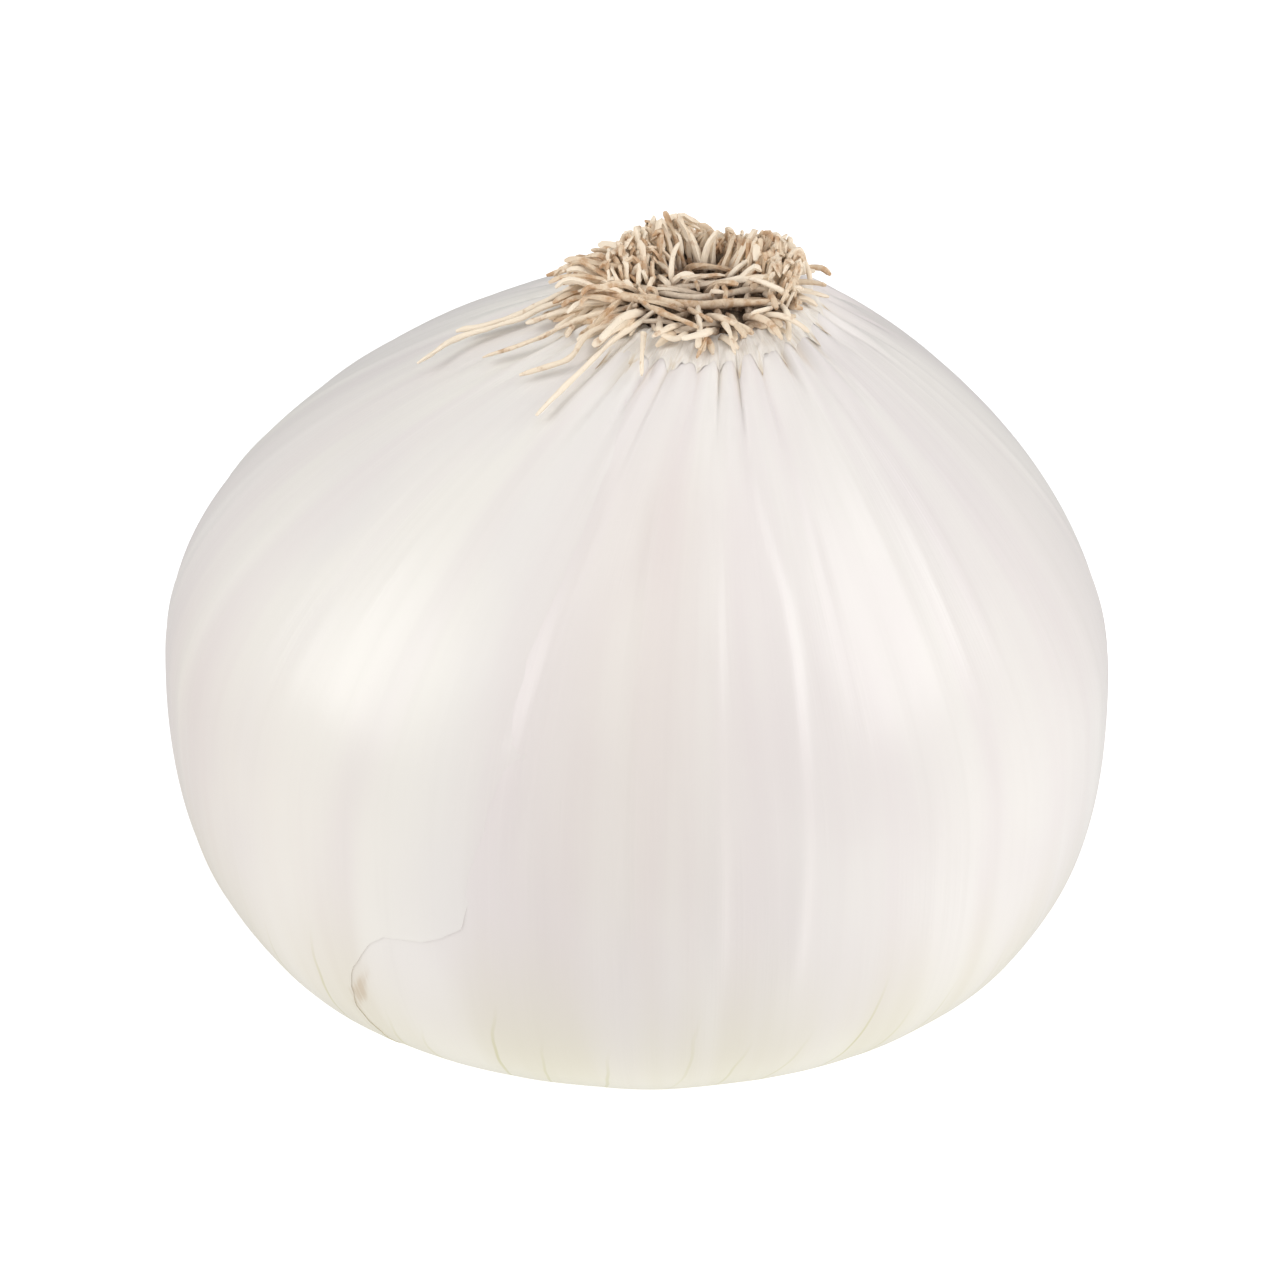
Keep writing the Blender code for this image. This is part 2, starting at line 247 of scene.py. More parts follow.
@dataclass(frozen=True)
class Growth:
    """The bulb's outline and its crooked growth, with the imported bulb's own sizes."""

    belly_radius: float = 44.0 * MM
    belly_height: float = 38.5 * MM
    belly_above: float = 17.9 * MM
    belly_below: float = 30.1 * MM
    rim_radius: float = 8.9 * MM
    rim_height: float = 76.4 * MM
    shoulder_reach: float = 12.0 * MM
    shoulder_slope: float = math.radians(19.0)
    neck_radius: float = 9.0 * MM
    neck_length: float = 1.7 * MM
    foot_radius: float = 7.5 * MM
    neck_reach: float = 20.0 * MM
    neck_slope: float = math.radians(22.7)
    belly_offset: float = -1.3 * MM
    root_end_offset: float = 4.7 * MM
    offset_power: float = 3.1
    belly_tilt: float = math.radians(1.2)
    socket_depth: float = 2.5 * MM
    socket_wall: float = 0.4 * MM
    seat_gap: float = 0.3 * MM
    plate_crown: float = 1.2 * MM
    pleat_height: float = 0.30 * MM
    samples: int = 400

    @staticmethod
    def _curve(ends: Line, handles: Line, share: float) -> tuple[float, float]:
        """Point on a cubic curve.

        Args:
            ends: First and last point.
            handles: The two points that steer it.
            share: Place on the curve from 0 to 1.

        Returns:
            The (radius, height) there.
        """
        rest = 1.0 - share
        weights = (rest**3, 3 * rest**2 * share, 3 * rest * share**2, share**3)
        corners = (ends[0], handles[0], handles[1], ends[1])
        radius = sum(w * corner[0] for w, corner in zip(weights, corners))
        height = sum(w * corner[1] for w, corner in zip(weights, corners))
        return radius, height

    def upper(self, share: float) -> tuple[float, float]:
        """Outline from the rim (0) to the belly (1) as (radius, height)."""
        rim = (self.rim_radius, self.rim_height)
        belly = (self.belly_radius, self.belly_height)
        shoulder = (
            self.rim_radius + self.shoulder_reach * math.cos(self.shoulder_slope),
            self.rim_height - self.shoulder_reach * math.sin(self.shoulder_slope),
        )
        side = (self.belly_radius, self.belly_height + self.belly_above)
        return self._curve((rim, belly), (shoulder, side), share)

    def lower(self, share: float) -> tuple[float, float]:
        """Outline from the belly (0) to the neck (1) as (radius, height)."""
        belly = (self.belly_radius, self.belly_height)
        neck = (self.neck_radius, self.neck_length)
        side = (self.belly_radius, self.belly_height - self.belly_below)
        underside = (
            self.neck_radius + self.neck_reach * math.cos(self.neck_slope),
            self.neck_length + self.neck_reach * math.sin(self.neck_slope),
        )
        return self._curve((belly, neck), (side, underside), share)

    @cached_property
    def outline(self) -> list[tuple[float, float, float]]:
        """Finely spaced (run, radius, height) points from the rim to the neck."""
        shares = [i / self.samples for i in range(self.samples + 1)]
        points = [self.upper(share) for share in shares]
        points += [self.lower(share) for share in shares[1:]]
        run = 0.0
        table = [(run, *points[0])]
        for start, end in zip(points, points[1:]):
            run += math.hypot(end[0] - start[0], end[1] - start[1])
            table.append((run, *end))
        return table

    @cached_property
    def runs(self) -> list[float]:
        """The outline's runs alone, for look-ups."""
        return [point[0] for point in self.outline]

    @property
    def belly_run(self) -> float:
        """Run from the rim to the belly."""
        return self.outline[self.samples][0]

    @property
    def neck_run(self) -> float:
        """Run from the rim to the neck."""
        return self.outline[-1][0]

    def place(self, run: float) -> tuple[float, float]:
        """Radius and height of the outline at a run.

        Args:
            run: Distance along the outline from the rim.

        Returns:
            The (radius, height) there.
        """
        index = min(max(bisect_right(self.runs, run), 1), len(self.runs) - 1)
        start, end = self.outline[index - 1], self.outline[index]
        share = min(max((run - start[0]) / (end[0] - start[0]), 0.0), 1.0)
        radius = start[1] + (end[1] - start[1]) * share
        return radius, start[2] + (end[2] - start[2]) * share

    @property
    def plate_radius(self) -> float:
        """Radius of the root plate in its socket."""
        return self.rim_radius - self.socket_wall - self.seat_gap

    def plate_height(self, distance: float) -> float:
        """Height of the plate's top at a distance from its axis."""
        share = min(distance / self.plate_radius, 1.0)
        return self.rim_height + self.plate_crown * (1.0 - share * share)

    def sideways(self, height: float) -> float:
        """Sideways place of the cross-section at a height."""
        if height <= self.belly_height:
            drop = 1.0 - height / self.belly_height
            return self.belly_offset * (1.0 - drop * drop)
        rise = min((height - self.belly_height) / (self.rim_height - self.belly_height), 1.0)
        return self.belly_offset + (self.root_end_offset - self.belly_offset) * rise**self.offset_power

    def tilt_drop(self, x: float, height: float) -> float:
        """How far the tilt of the belly lowers a point."""
        share = min(max(height / self.rim_height, 0.0), 1.0)
        return x * math.tan(self.belly_tilt) * math.sin(math.pi * share) ** 2

    def grown(self, radius: float, height: float, azimuth: float, lift: float = 0.0) -> Vector:
        """World point of the bulb's round coordinates after its crooked growth.

        Args:
            radius: Distance from the bulb's own axis.
            height: Height above the neck cut.
            azimuth: In radians.
            lift: Distance outwards, away from the bulb's middle.

        Returns:
            The point in the frame.
        """
        x = radius * math.cos(azimuth)
        y = radius * math.sin(azimuth)
        outward = Vector((x, y, height - self.belly_height)).normalized()
        point = Vector((x, y, height - self.tilt_drop(x, height))) + outward * lift
        point.x += self.sideways(height)
        return point

    def shoulder_height(self, distance: float) -> float:
        """Height of the plate or of the shoulder's outline at a distance from the axis."""
        if distance <= self.plate_radius:
            return self.plate_height(distance)
        if distance <= self.rim_radius:
            return self.rim_height
        low, high = 0.0, 1.0
        for _ in range(30):
            middle = (low + high) / 2.0
            if self.upper(middle)[0] < distance:
                low = middle
            else:
                high = middle
        return self.upper(low)[1]

    def root_end_distance(self, point: Vector) -> float:
        """Distance of a point from the root plate's axis."""
        return math.hypot(point.x - self.root_end_offset, point.y)


@dataclass(frozen=True)
class Crease:
    """A long low fold of the skin.

    Attributes:
        line: (run in mm, azimuth in degrees) points down the bulb.
        height: Rise of the fold in mm.
        left: Width of the flank towards smaller azimuths, in mm.
        right: Width of the other flank, in mm.
        rise_length: Run in mm over which the fold starts.
        fade_length: Run in mm over which it ends.
    """

    line: Line
    height: float
    left: float
    right: float
    rise_length: float = 8.0
    fade_length: float = 12.0

    def rise(self, azimuth: float, run: float, radius: float) -> float:
        """Rise of the crease over a place on the skin.

        Args:
            azimuth: In degrees.
            run: In mm.
            radius: In mm.

        Returns:
            The rise in mm.
        """
        start, end = self.line[0][0], self.line[-1][0]
        if not start < run < end:
            return 0.0
        distance = math.radians(turned(azimuth, between(self.line, run))) * radius
        width = self.left if distance < 0.0 else self.right
        if abs(distance) > 3.0 * width:
            return 0.0
        ends = plateau(run, (start, start + self.rise_length), (end - self.fade_length, end))
        return self.height * ends * bump(distance, width)


@dataclass(frozen=True)
class Patch:
    """A soft patch of painted shade, or of another tint.

    Attributes:
        azimuth: Its middle in degrees.
        width: Its half width in degrees.
        rise: Runs in mm between which it starts.
        fall: Runs in mm between which it ends.
    """

    azimuth: float
    width: float
    rise: Span
    fall: Span

    def share(self, degrees: float, out: float) -> float:
        """Strength of the patch at an azimuth in degrees and a run in mm."""
        return bump(degrees - self.azimuth, self.width) * plateau(out, self.rise, self.fall)


@dataclass
class SkinForm:
    """Relief of the skin: pleats at both ends, creases, fine ribs and broad unevenness."""

    growth: Growth
    seed: int = 5
    pleats: int = 34
    pleat_rise: float = 0.58
    valley_round: float = 0.22
    sink: float = 0.34
    rib_rise: float = 0.055
    stray_creases: int = 34
    crease_reach: float = 18.0
    broad: Wave = Wave(2.1, 1.1, 3.0, 0.26)
    facet: Wave = Wave(5.5, 0.8, 9.0, 0.10)
    rib: Wave = Wave(17.0, 0.9)
    fine_rib: Wave = Wave(42.0, 1.3, 5.0, 0.4)
    wander: Wave = Wave(4.0, 0.0, 7.3, 0.5)
    # The first two patches are painted shade over the front centre and the lower left; the third is the
    # mauve colour of the right shoulder.
    patches: tuple[Patch, ...] = (
        Patch(268.5, 13.5, (4.0, 20.0), (50.0, 76.0)),
        Patch(206.0, 26.0, (34.0, 56.0), (84.0, 100.0)),
        Patch(334.0, 22.0, (0.0, 5.0), (20.0, 42.0)),
    )
    mark: Span = (72.4, 230.6)
    mark_radius: float = 33.0
    mark_slant: float = 0.45
    mark_length: float = 3.4
    mark_width: float = 0.62
    own_creases: tuple[Crease, ...] = (
        Crease(
            (
                (9, 286.0), (16, 287.8), (20, 289.0), (28, 291.8),
                (33, 292.0), (43, 291.0), (58, 290.0), (70, 289.0),
            ),
            0.34, 1.5, 0.7,
        ),
        Crease(((14, 278.5), (24, 280.8), (35, 280.5), (46, 280.0), (70, 280.0)), 0.20, 0.9, 0.6),
        Crease(
            ((12, 266.0), (17, 268.0), (31, 269.5), (41, 270.0), (61, 268.2), (72, 266.8)),
            0.20, 1.0, 1.6,
        ),
        Crease(
            ((12, 255.0), (20, 257.6), (30, 256.2), (38, 255.4), (48, 254.2), (56, 252.0)),
            0.36, 1.5, 0.8,
        ),
        Crease(((14, 300.0), (24, 302.0), (40, 301.0), (54, 299.5)), 0.08, 1.0, 0.8),
        Crease(((16, 308.5), (24, 309.3), (34, 310.0)), 0.05, 0.25, 0.3),
    )

    def __post_init__(self) -> None:
        """Draw the pleats' own sizes and the stray creases."""
        chance = random.Random(self.seed)
        self.pleat_sizes = [chance.uniform(0.55, 1.25) for _ in range(self.pleats)]
        self.pleat_ends = [chance.uniform(9.0, 19.0) for _ in range(self.pleats)]
        self.neck_sizes = [chance.uniform(0.5, 1.3) for _ in range(self.pleats)]
        self.creases = list(self.own_creases)
        for _ in range(self.stray_creases):
            self.creases.append(self._stray(chance))
        self.near = [
            [fold for fold in self.creases if abs(turned(degree, fold.line[1][1])) < self.crease_reach]
            for degree in range(360)
        ]

    @staticmethod
    def _stray(chance: random.Random) -> Crease:
        """One crease with no place of its own."""
        start = chance.uniform(3.0, 30.0)
        end = min(start + chance.uniform(30.0, 60.0), 98.0)
        azimuth = chance.uniform(0.0, 360.0)
        drift = chance.uniform(-2.5, 2.5)
        line = ((start, azimuth), ((start + end) / 2, azimuth + drift), (end, azimuth + drift / 2))
        left = chance.uniform(0.4, 1.4)
        return Crease(line, chance.uniform(0.03, 0.11), left, chance.uniform(0.4, 1.4))

    def pleat(self, azimuth: float) -> tuple[int, float]:
        """Number of the pleat at an azimuth and how near its crest the azimuth is.

        Args:
            azimuth: In radians.

        Returns:
            The pleat's number and a share, 1 on the crest and 0 in the valley.
        """
        turns = self.pleats * azimuth / TURN + self.wander.at(azimuth)
        number = math.floor(turns + 0.5)
        valley = self.valley_round
        wave = math.hypot(math.cos(math.pi * (turns - number)), valley)
        return number % self.pleats, (wave - valley) / (math.hypot(1.0, valley) - valley)

    def groove(self, azimuth: float, run: float) -> float:
        """Depth of the valleys between the pleats of the root end, from 0 to 1.

        Args:
            azimuth: In radians.
            run: In metres.

        Returns:
            1 at the bottom of the deepest valley and 0 on open skin.
        """
        number, crest = self.pleat(azimuth)
        out = run / MM
        fade = plateau(out, (0.3, 2.2), (2.0, 0.55 * self.pleat_ends[number]))
        return fade * (1.0 - crest) ** 1.5 * self.pleat_sizes[number]

    def tint(self, azimuth: float, run: float) -> tuple[float, float, float]:
        """Strengths of the painted shade over the front and lower left, the mauve right shoulder and the
        brown mark.

        Args:
            azimuth: In radians.
            run: In metres.

        Returns:
            Three shares from 0 to 1.
        """
        degrees = math.degrees(azimuth) % 360.0
        out = run / MM
        # front and left are the painted shade; mauve is the skin's own colour.
        front, left, mauve = (patch.share(degrees, out) for patch in self.patches)
        down = out - self.mark[0]
        across = math.radians(degrees - self.mark[1]) * self.mark_radius + self.mark_slant * down
        across += 0.5 * noise.noise(Vector((out * 0.7, degrees * 0.4, 6.0)))
        return max(front, left), mauve, bump(down, self.mark_length) * bump(across, self.mark_width)

    def rise(self, azimuth: float, run: float, radius: float) -> float:
        """Relief of the skin over the smooth outline.

        Args:
            azimuth: In radians.
            run: In metres.
            radius: Distance from the bulb's axis in metres.

        Returns:
            The rise in metres, below 0 on most of the skin so that it stays within the bulb.
        """
        number, crest = self.pleat(azimuth)
        out = run / MM
        before_neck = (self.growth.neck_run - run) / MM
        gather = plateau(out, (0.3, 2.6), (2.8, self.pleat_ends[number]))
        pucker = plateau(before_neck, (0.0, 1.5), (2.0, 14.0))
        crest_rise = 0.45 * crest + 0.55 * crest * crest - 0.5
        level = self.pleat_rise * gather * self.pleat_sizes[number] * crest_rise
        level += 0.5 * pucker * self.neck_sizes[number] * crest_rise
        down = run / self.growth.belly_radius
        open_skin = smoothstep(4.0, 22.0, out) * smoothstep(1.0, 16.0, before_neck)
        level += open_skin * (self.broad.at(azimuth, down) + self.facet.at(azimuth, down))
        ribs = self.rib.at(azimuth, down) + self.fine_rib.at(azimuth, down)
        ribbed = smoothstep(1.0, 6.0, out) * (1.0 - 0.72 * smoothstep(14.0, 34.0, out))
        level += self.rib_rise * ribs * ribbed
        degrees = math.degrees(azimuth) % 360.0
        for crease in self.near[int(degrees) % 360]:
            level += crease.rise(degrees, out, radius / MM)
        edge = smoothstep(0.0, 6.0, out) * smoothstep(0.0, 3.0, before_neck)
        return (level - self.sink * edge) * MM

    def point(self, azimuth: float, run: float, lift: float = 0.0) -> Vector:
        """World point on the skin.

        Args:
            azimuth: In radians.
            run: In metres.
            lift: Further distance outwards, in metres.

        Returns:
            The point in the frame.
        """
        radius, height = self.growth.place(run)
        return self.growth.grown(radius, height, azimuth, self.rise(azimuth, run, radius) + lift)


@dataclass
class SkinMarks:
    """What the skin's finish reads at each vertex: grain, grooves, cut, and the shares of painted shade,
    mauve and the brown mark.
    """

    form: SkinForm
    grain: list[tuple[float, float, float]] = field(default_factory=list)
    groove: list[float] = field(default_factory=list)
    cut: list[float] = field(default_factory=list)
    # tint holds the painted shade, the mauve colour and the brown mark.
    tint: list[tuple[float, float, float]] = field(default_factory=list)

    def add(self, azimuth: float, run: float, cut: float = 0.0) -> None:
        """Read the marks of the next vertex.

        Args:
            azimuth: In radians.
            run: In metres.
            cut: 1 where the neck was cut and has dried.
        """
        self.grain.append((math.cos(azimuth), math.sin(azimuth), run / self.form.growth.belly_radius))
        self.groove.append(self.form.groove(azimuth, run))
        self.cut.append(cut)
        self.tint.append(self.form.tint(azimuth, run))

    def keep(self, mesh: bpy.types.Mesh) -> None:
        """Store the marks on the mesh."""
        store_vectors(mesh, "grain", self.grain)
        store(mesh, "groove", self.groove)
        store(mesh, "cut", self.cut)
        store_vectors(mesh, "tint", self.tint)


class Graph:
    """Short ways to write the node tree of one material."""

    def __init__(self, name: str) -> None:
        """Start a material that has only a shader and its output."""
        self.material = bpy.data.materials.new(name)
        self.material.use_nodes = True
        self.tree = self.material.node_tree
        self.shader = self.tree.nodes["Principled BSDF"]

    def node(self, kind: str, **settings: object) -> bpy.types.Node:
        """Add a node.

        Args:
            kind: The node's type without its ShaderNode prefix.
            **settings: Properties to set on it.

        Returns:
            The new node.
        """
        made = self.tree.nodes.new("ShaderNode" + kind)
        for name, value in settings.items():
            setattr(made, name, value)
        return made

    def feed(self, target: Socket, value: object) -> None:
        """Link a socket or set a plain value on the target socket."""
        if isinstance(value, Socket):
            self.tree.links.new(value, target)
        elif isinstance(value, tuple) and len(value) == 3 and target.type == "RGBA":
            target.default_value = (*value, 1.0)
        else:
            target.default_value = value

    def math(self, operation: str, first: object, second: object = 0.0) -> Socket:
        """Result of one operation on one or two values."""
        made = self.node("Math", operation=operation)
        self.feed(made.inputs[0], first)
        self.feed(made.inputs[1], second)
        return made.outputs[0]

    def plus(self, first: object, second: object) -> Socket:
        """Sum of two values."""
        return self.math("ADD", first, second)

    def times(self, first: object, second: object) -> Socket:
        """Product of two values."""
        return self.math("MULTIPLY", first, second)

    def scaled(self, value: object, factor: float, offset: float = 0.0) -> Socket:
        """The value times a factor plus an offset."""
        result = self.math("MULTIPLY_ADD", value, factor)
        result.node.inputs[2].default_value = offset
        return result

    def split(self, vector: object, kind: str = "SeparateXYZ") -> Sequence[Socket]:
        """The three parts of a vector, or of a colour."""
        made = self.node(kind)
        self.feed(made.inputs[0], vector)
        return made.outputs

    def value(self, name: str) -> Socket:
        """One of the numbers that the piece keeps for each vertex."""
        return self.node("Attribute", attribute_name=name).outputs["Fac"]

    def vector(self, name: str) -> Socket:
        """One of the vectors that the piece keeps for each vertex."""
        return self.node("Attribute", attribute_name=name).outputs["Vector"]

    def where(self) -> Socket:
        """Place in the frame."""
        return self.node("TexCoord").outputs["Object"]

    def stretch(self, vector: object, across: float, down: float, shift: float = 0.0) -> Socket:
        """The grain vector scaled round the bulb and down it.

        Args:
            vector: Socket of the vector.
            across: Scale round the bulb.
            down: Scale along its outline.
            shift: Moves the pattern to a part of its own.

        Returns:
            The scaled vector.
        """
        made = self.node("VectorMath", operation="MULTIPLY_ADD")
        self.feed(made.inputs[0], vector)
        self.feed(made.inputs[1], (across, across, down))
        self.feed(made.inputs[2], (shift, shift, shift))
        return made.outputs[0]

    def noise(self, vector: object, scale: float = 1.0, detail: float = 3.0) -> Socket:
        """Even noise about 0.5 over a vector."""
        made = self.node("TexNoise")
        self.feed(made.inputs["Vector"], vector)
        made.inputs["Scale"].default_value = scale
        made.inputs["Detail"].default_value = detail
        return made.outputs[0]

    def band(
        self, value: object, low: float, high: float, start: float = 0.0, end: float = 1.0
    ) -> Socket:
        """Smooth rise from start at low to end at high.

        Args:
            value: Socket that is read.
            low: Value where the rise starts.
            high: Value where it is complete.
            start: Result up to low.
            end: Result from high.

        Returns:
            The result's socket.
        """
        made = self.node("MapRange", interpolation_type="SMOOTHSTEP")
        for index, part in enumerate((value, low, high, start, end)):
            self.feed(made.inputs[index], part)
        return made.outputs[0]

    def mix(self, share: object, first: object, second: object, how: str = "MIX") -> Socket:
        """Colour between two colours.

        Args:
            share: 0 for the first and 1 for the second.
            first: Colour or socket.
            second: Colour or socket.
            how: Blend type.

        Returns:
            The mixed colour's socket.
        """
        made = self.node("Mix", data_type="RGBA", blend_type=how)
        self.feed(made.inputs[0], share)
        self.feed(made.inputs[6], first)
        self.feed(made.inputs[7], second)
        return made.outputs[2]

    def over(
        self, base: object, tint: object, value: object, low: float, high: float, most: float = 1.0
    ) -> Socket:
        """A colour with a tint laid over it where a value is high.

        Args:
            base: Colour or socket below.
            tint: Colour or socket on top.
            value: Socket that is read.
            low: Value where the tint starts.
            high: Value where it is strongest.
            most: Its greatest share.

        Returns:
            The colour's socket.
        """
        return self.mix(self.band(value, low, high, 0.0, most), base, tint)

    def relief(self, height: object, strength: float, distance: float) -> None:
        """Give the shader a bump from a height.

        Args:
            height: Socket of the height.
            strength: Share of the bump from 0 to 1.
            distance: Height in metres of a full step.
        """
        made = self.node("Bump")
        made.inputs["Strength"].default_value = strength
        made.inputs["Distance"].default_value = distance
        self.feed(made.inputs["Height"], height)
        self.feed(self.shader.inputs["Normal"], made.outputs[0])

    def finish(self, colour: object, roughness: object, **constants: object) -> bpy.types.Material:
        """Connect colour and roughness and set the shader's plain values.

        Args:
            colour: Colour or socket.
            roughness: Value or socket.
            **constants: Shader sockets by name, with underscores for spaces.

        Returns:
            The finished material.
        """
        self.feed(self.shader.inputs["Base Color"], colour)
        self.feed(self.shader.inputs["Roughness"], roughness)
        for name, value in constants.items():
            self.feed(self.shader.inputs[name.replace("_", " ")], value)
        return self.material


@dataclass(frozen=True)
class SkinFinish:
    """Satin white onion skin with lengthwise grain, veins towards the neck, tan valleys and painted
    shade over the front and lower left.
    """

    name: str
    body: Colour
    cream: Colour
    blush: Colour
    shade: Colour
    neck_tint: Colour = (0.67, 0.635, 0.47)
    vein: Colour = (0.50, 0.47, 0.20)
    valley: Colour = (0.62, 0.53, 0.42)
    cut: Colour = (0.46, 0.33, 0.19)
    speck: Colour = (0.30, 0.26, 0.18)
    # Colour multiplied in as painted shade over the front centre and the lower left.
    painted_shade: Colour = (0.945, 0.917, 0.900)
    mauve: Colour = (0.64, 0.615, 0.625)
    veins: int = 42
    vein_slant: float = 0.19
    vein_start: float = 1.47
    vein_share: float = 0.6
    mauve_share: float = 0.16

    def _veins(self, graph: Graph, grain: Socket, run: Socket) -> Socket:
        """Strength of the thin veins that run together at the neck.

        Args:
            graph: The material's graph.
            grain: Socket of the grain vector.
            run: Socket of the run, 1 for each belly radius.

        Returns:
            1 on a vein and 0 between them.
        """
        parts = graph.split(grain)
        angle = graph.math("ARCTAN2", parts[1], parts[0])
        wander = graph.noise(graph.stretch(grain, 3.0, 3.4, 4.0), detail=2.0)
        cells = graph.scaled(angle, self.veins / TURN)
        slant = graph.times(run, self.vein_slant * self.veins / TURN)
        cells = graph.plus(graph.plus(cells, slant), graph.times(wander, 0.50))
        number = graph.math("FLOOR", cells)
        own = graph.node("TexWhiteNoise", noise_dimensions="1D")
        graph.feed(own.inputs["W"], number)
        draws = graph.split(own.outputs["Color"], "SeparateColor")
        middle = graph.scaled(draws[0], 0.5, 0.25)
        away = graph.math("ABSOLUTE", graph.math("SUBTRACT", graph.math("FRACT", cells), middle))
        line = graph.band(away, 0.012, 0.042, 1.0, 0.0)
        start = graph.scaled(draws[1], 0.26, self.vein_start)
        length = graph.band(graph.math("SUBTRACT", run, start), 0.0, 0.26)
        strength = graph.band(draws[2], 0.0, 0.6, 0.35, 1.0)
        return graph.times(graph.times(line, length), strength)

    def _specks(self, graph: Graph) -> Socket:
        """Strength of the few small dark specks."""
        cells = graph.node("TexVoronoi", feature="F1")
        graph.feed(cells.inputs["Vector"], graph.where())
        cells.inputs["Scale"].default_value = 85.0
        dot = graph.band(cells.outputs["Distance"], 0.02, 0.045, 1.0, 0.0)
        draws = graph.split(cells.outputs["Color"], "SeparateColor")
        return graph.times(dot, graph.band(draws[0], 0.80, 0.84, 0.0, 0.7))

    def make(self) -> bpy.types.Material:
        """The skin's material."""
        graph = Graph(self.name)
        vector = graph.vector("grain")
        run = graph.split(vector)[2]
        broad = graph.noise(graph.stretch(vector, 2.2, 1.4), detail=2.0)
        streak = graph.noise(graph.stretch(vector, 5.5, 0.6, 2.0), detail=2.0)
        fine = graph.noise(graph.stretch(vector, 24.0, 0.9, 5.0), detail=3.0)
        thread = graph.noise(graph.stretch(vector, 130.0, 2.2, 8.0), detail=2.0)
        colour = graph.over(self.body, self.cream, broad, 0.40, 0.62)
        colour = graph.over(colour, self.blush, streak, 0.42, 0.70, 0.8)
        colour = graph.over(colour, self.shade, fine, 0.48, 0.75, 0.17)
        pale = tuple(min(part * 1.05, 0.95) for part in self.cream)
        colour = graph.over(colour, pale, thread, 0.58, 0.74, 0.09)
        low = graph.plus(run, graph.band(streak, 0.3, 0.7, -0.09, 0.09))
        colour = graph.over(colour, self.neck_tint, low, 1.34, 2.05, 0.9)
        veins = graph.times(self._veins(graph, vector, run), self.vein_share)
        colour = graph.mix(veins, colour, self.vein)
        groove = graph.value("groove")
        stained = graph.times(groove, graph.band(fine, 0.3, 0.7, 0.6, 1.3))
        colour = graph.over(colour, self.valley, stained, 0.05, 0.90, 0.48)
        shade_and_tints = graph.split(graph.vector("tint"))
        streaked = graph.band(streak, 0.30, 0.62, 0.35, 1.0)
        # Painted shade: the front centre and the lower left are darkened, a little streaked.
        painted_shade_share = graph.times(shade_and_tints[0], graph.band(streak, 0.30, 0.62, 0.7, 1.0))
        colour = graph.mix(painted_shade_share, colour, self.painted_shade, "MULTIPLY")
        streaked = graph.times(streaked, self.mauve_share)
        colour = graph.mix(graph.times(shade_and_tints[1], streaked), colour, self.mauve)
        spotted = graph.times(shade_and_tints[2], graph.band(thread, 0.35, 0.6, 0.5, 1.0))
        colour = graph.over(colour, self.cut, spotted, 0.10, 0.95, 0.55)
        cut = graph.value("cut")
        dried = graph.mix(graph.band(graph.noise(vector, 24.0, 4.0), 0.35, 0.7), self.cut, self.valley)
        colour = graph.mix(cut, colour, dried)
        colour = graph.mix(self._specks(graph), colour, self.speck)
        rough = graph.band(fine, 0.3, 0.7, 0.28, 0.36)
        height = graph.plus(graph.times(fine, 0.7), graph.times(thread, 0.3))
        graph.relief(height, 0.36, 0.00012)
        return graph.finish(colour, rough, IOR=1.45)


@dataclass(frozen=True)
class RootFinish:
    """Dry straw-coloured root fibre, with painted shade making it darker and browner down by the plate.
    """

    name: str = "dry_root"
    pale: Colour = (0.88, 0.765, 0.615)
    straw: Colour = (0.71, 0.555, 0.395)
    rust: Colour = (0.48, 0.27, 0.13)
    painted_tuft_shade: Colour = (0.19, 0.108, 0.062)

    def make(self) -> bpy.types.Material:
        """The fibres' material."""
        graph = Graph(self.name)
        tone = graph.value("tone")
        height = graph.value("height")
        where = graph.where()
        mottle = graph.noise(where, 900.0, 3.0)
        grain = graph.noise(where, 3200.0, 2.0)
        colour = graph.over(self.pale, self.straw, tone, 0.25, 0.85)
        patches = graph.plus(mottle, graph.band(tone, 0.0, 1.0, -0.08, 0.10))
        colour = graph.over(colour, self.rust, patches, 0.53, 0.71, 0.75)
        # Painted shade: fibres darken towards the shade colour the nearer they lie to the plate.
        colour = graph.mix(graph.band(height, 0.0, 1.0, 0.9, 0.0), colour, self.painted_tuft_shade)
        colour = graph.over(colour, self.pale, grain, 0.4, 0.75, 0.25)
        graph.relief(graph.plus(mottle, graph.times(grain, 0.5)), 0.6, 0.0001)
        rough = graph.band(mottle, 0.3, 0.7, 0.6, 0.85)
        return graph.finish(colour, rough, Specular_IOR_Level=0.3)


@dataclass(frozen=True)
class CollarFinish:
    """Papery remains of old skin round the roots, whitish with brown tips."""

    name: str = "papery_collar"
    pale: Colour = (0.80, 0.755, 0.70)
    tan: Colour = (0.66, 0.56, 0.43)
    brown: Colour = (0.42, 0.30, 0.19)

    def make(self) -> bpy.types.Material:
        """The collar's material."""
        graph = Graph(self.name)
        tip = graph.value("tip")
        vector = graph.vector("grain")
        blotch = graph.noise(graph.stretch(vector, 18.0, 30.0), detail=4.0)
        fibre = graph.noise(graph.stretch(vector, 120.0, 14.0), detail=3.0)
        worn = graph.plus(tip, graph.band(blotch, 0.3, 0.7, -0.3, 0.3))
        colour = graph.over(self.pale, self.tan, worn, 0.30, 0.85, 0.9)
        colour = graph.over(colour, self.brown, worn, 0.68, 1.02, 0.75)
        colour = graph.over(colour, self.tan, fibre, 0.5, 0.7, 0.35)
        graph.relief(fibre, 0.6, 0.00015)
        return graph.finish(colour, graph.band(blotch, 0.3, 0.7, 0.5, 0.7))


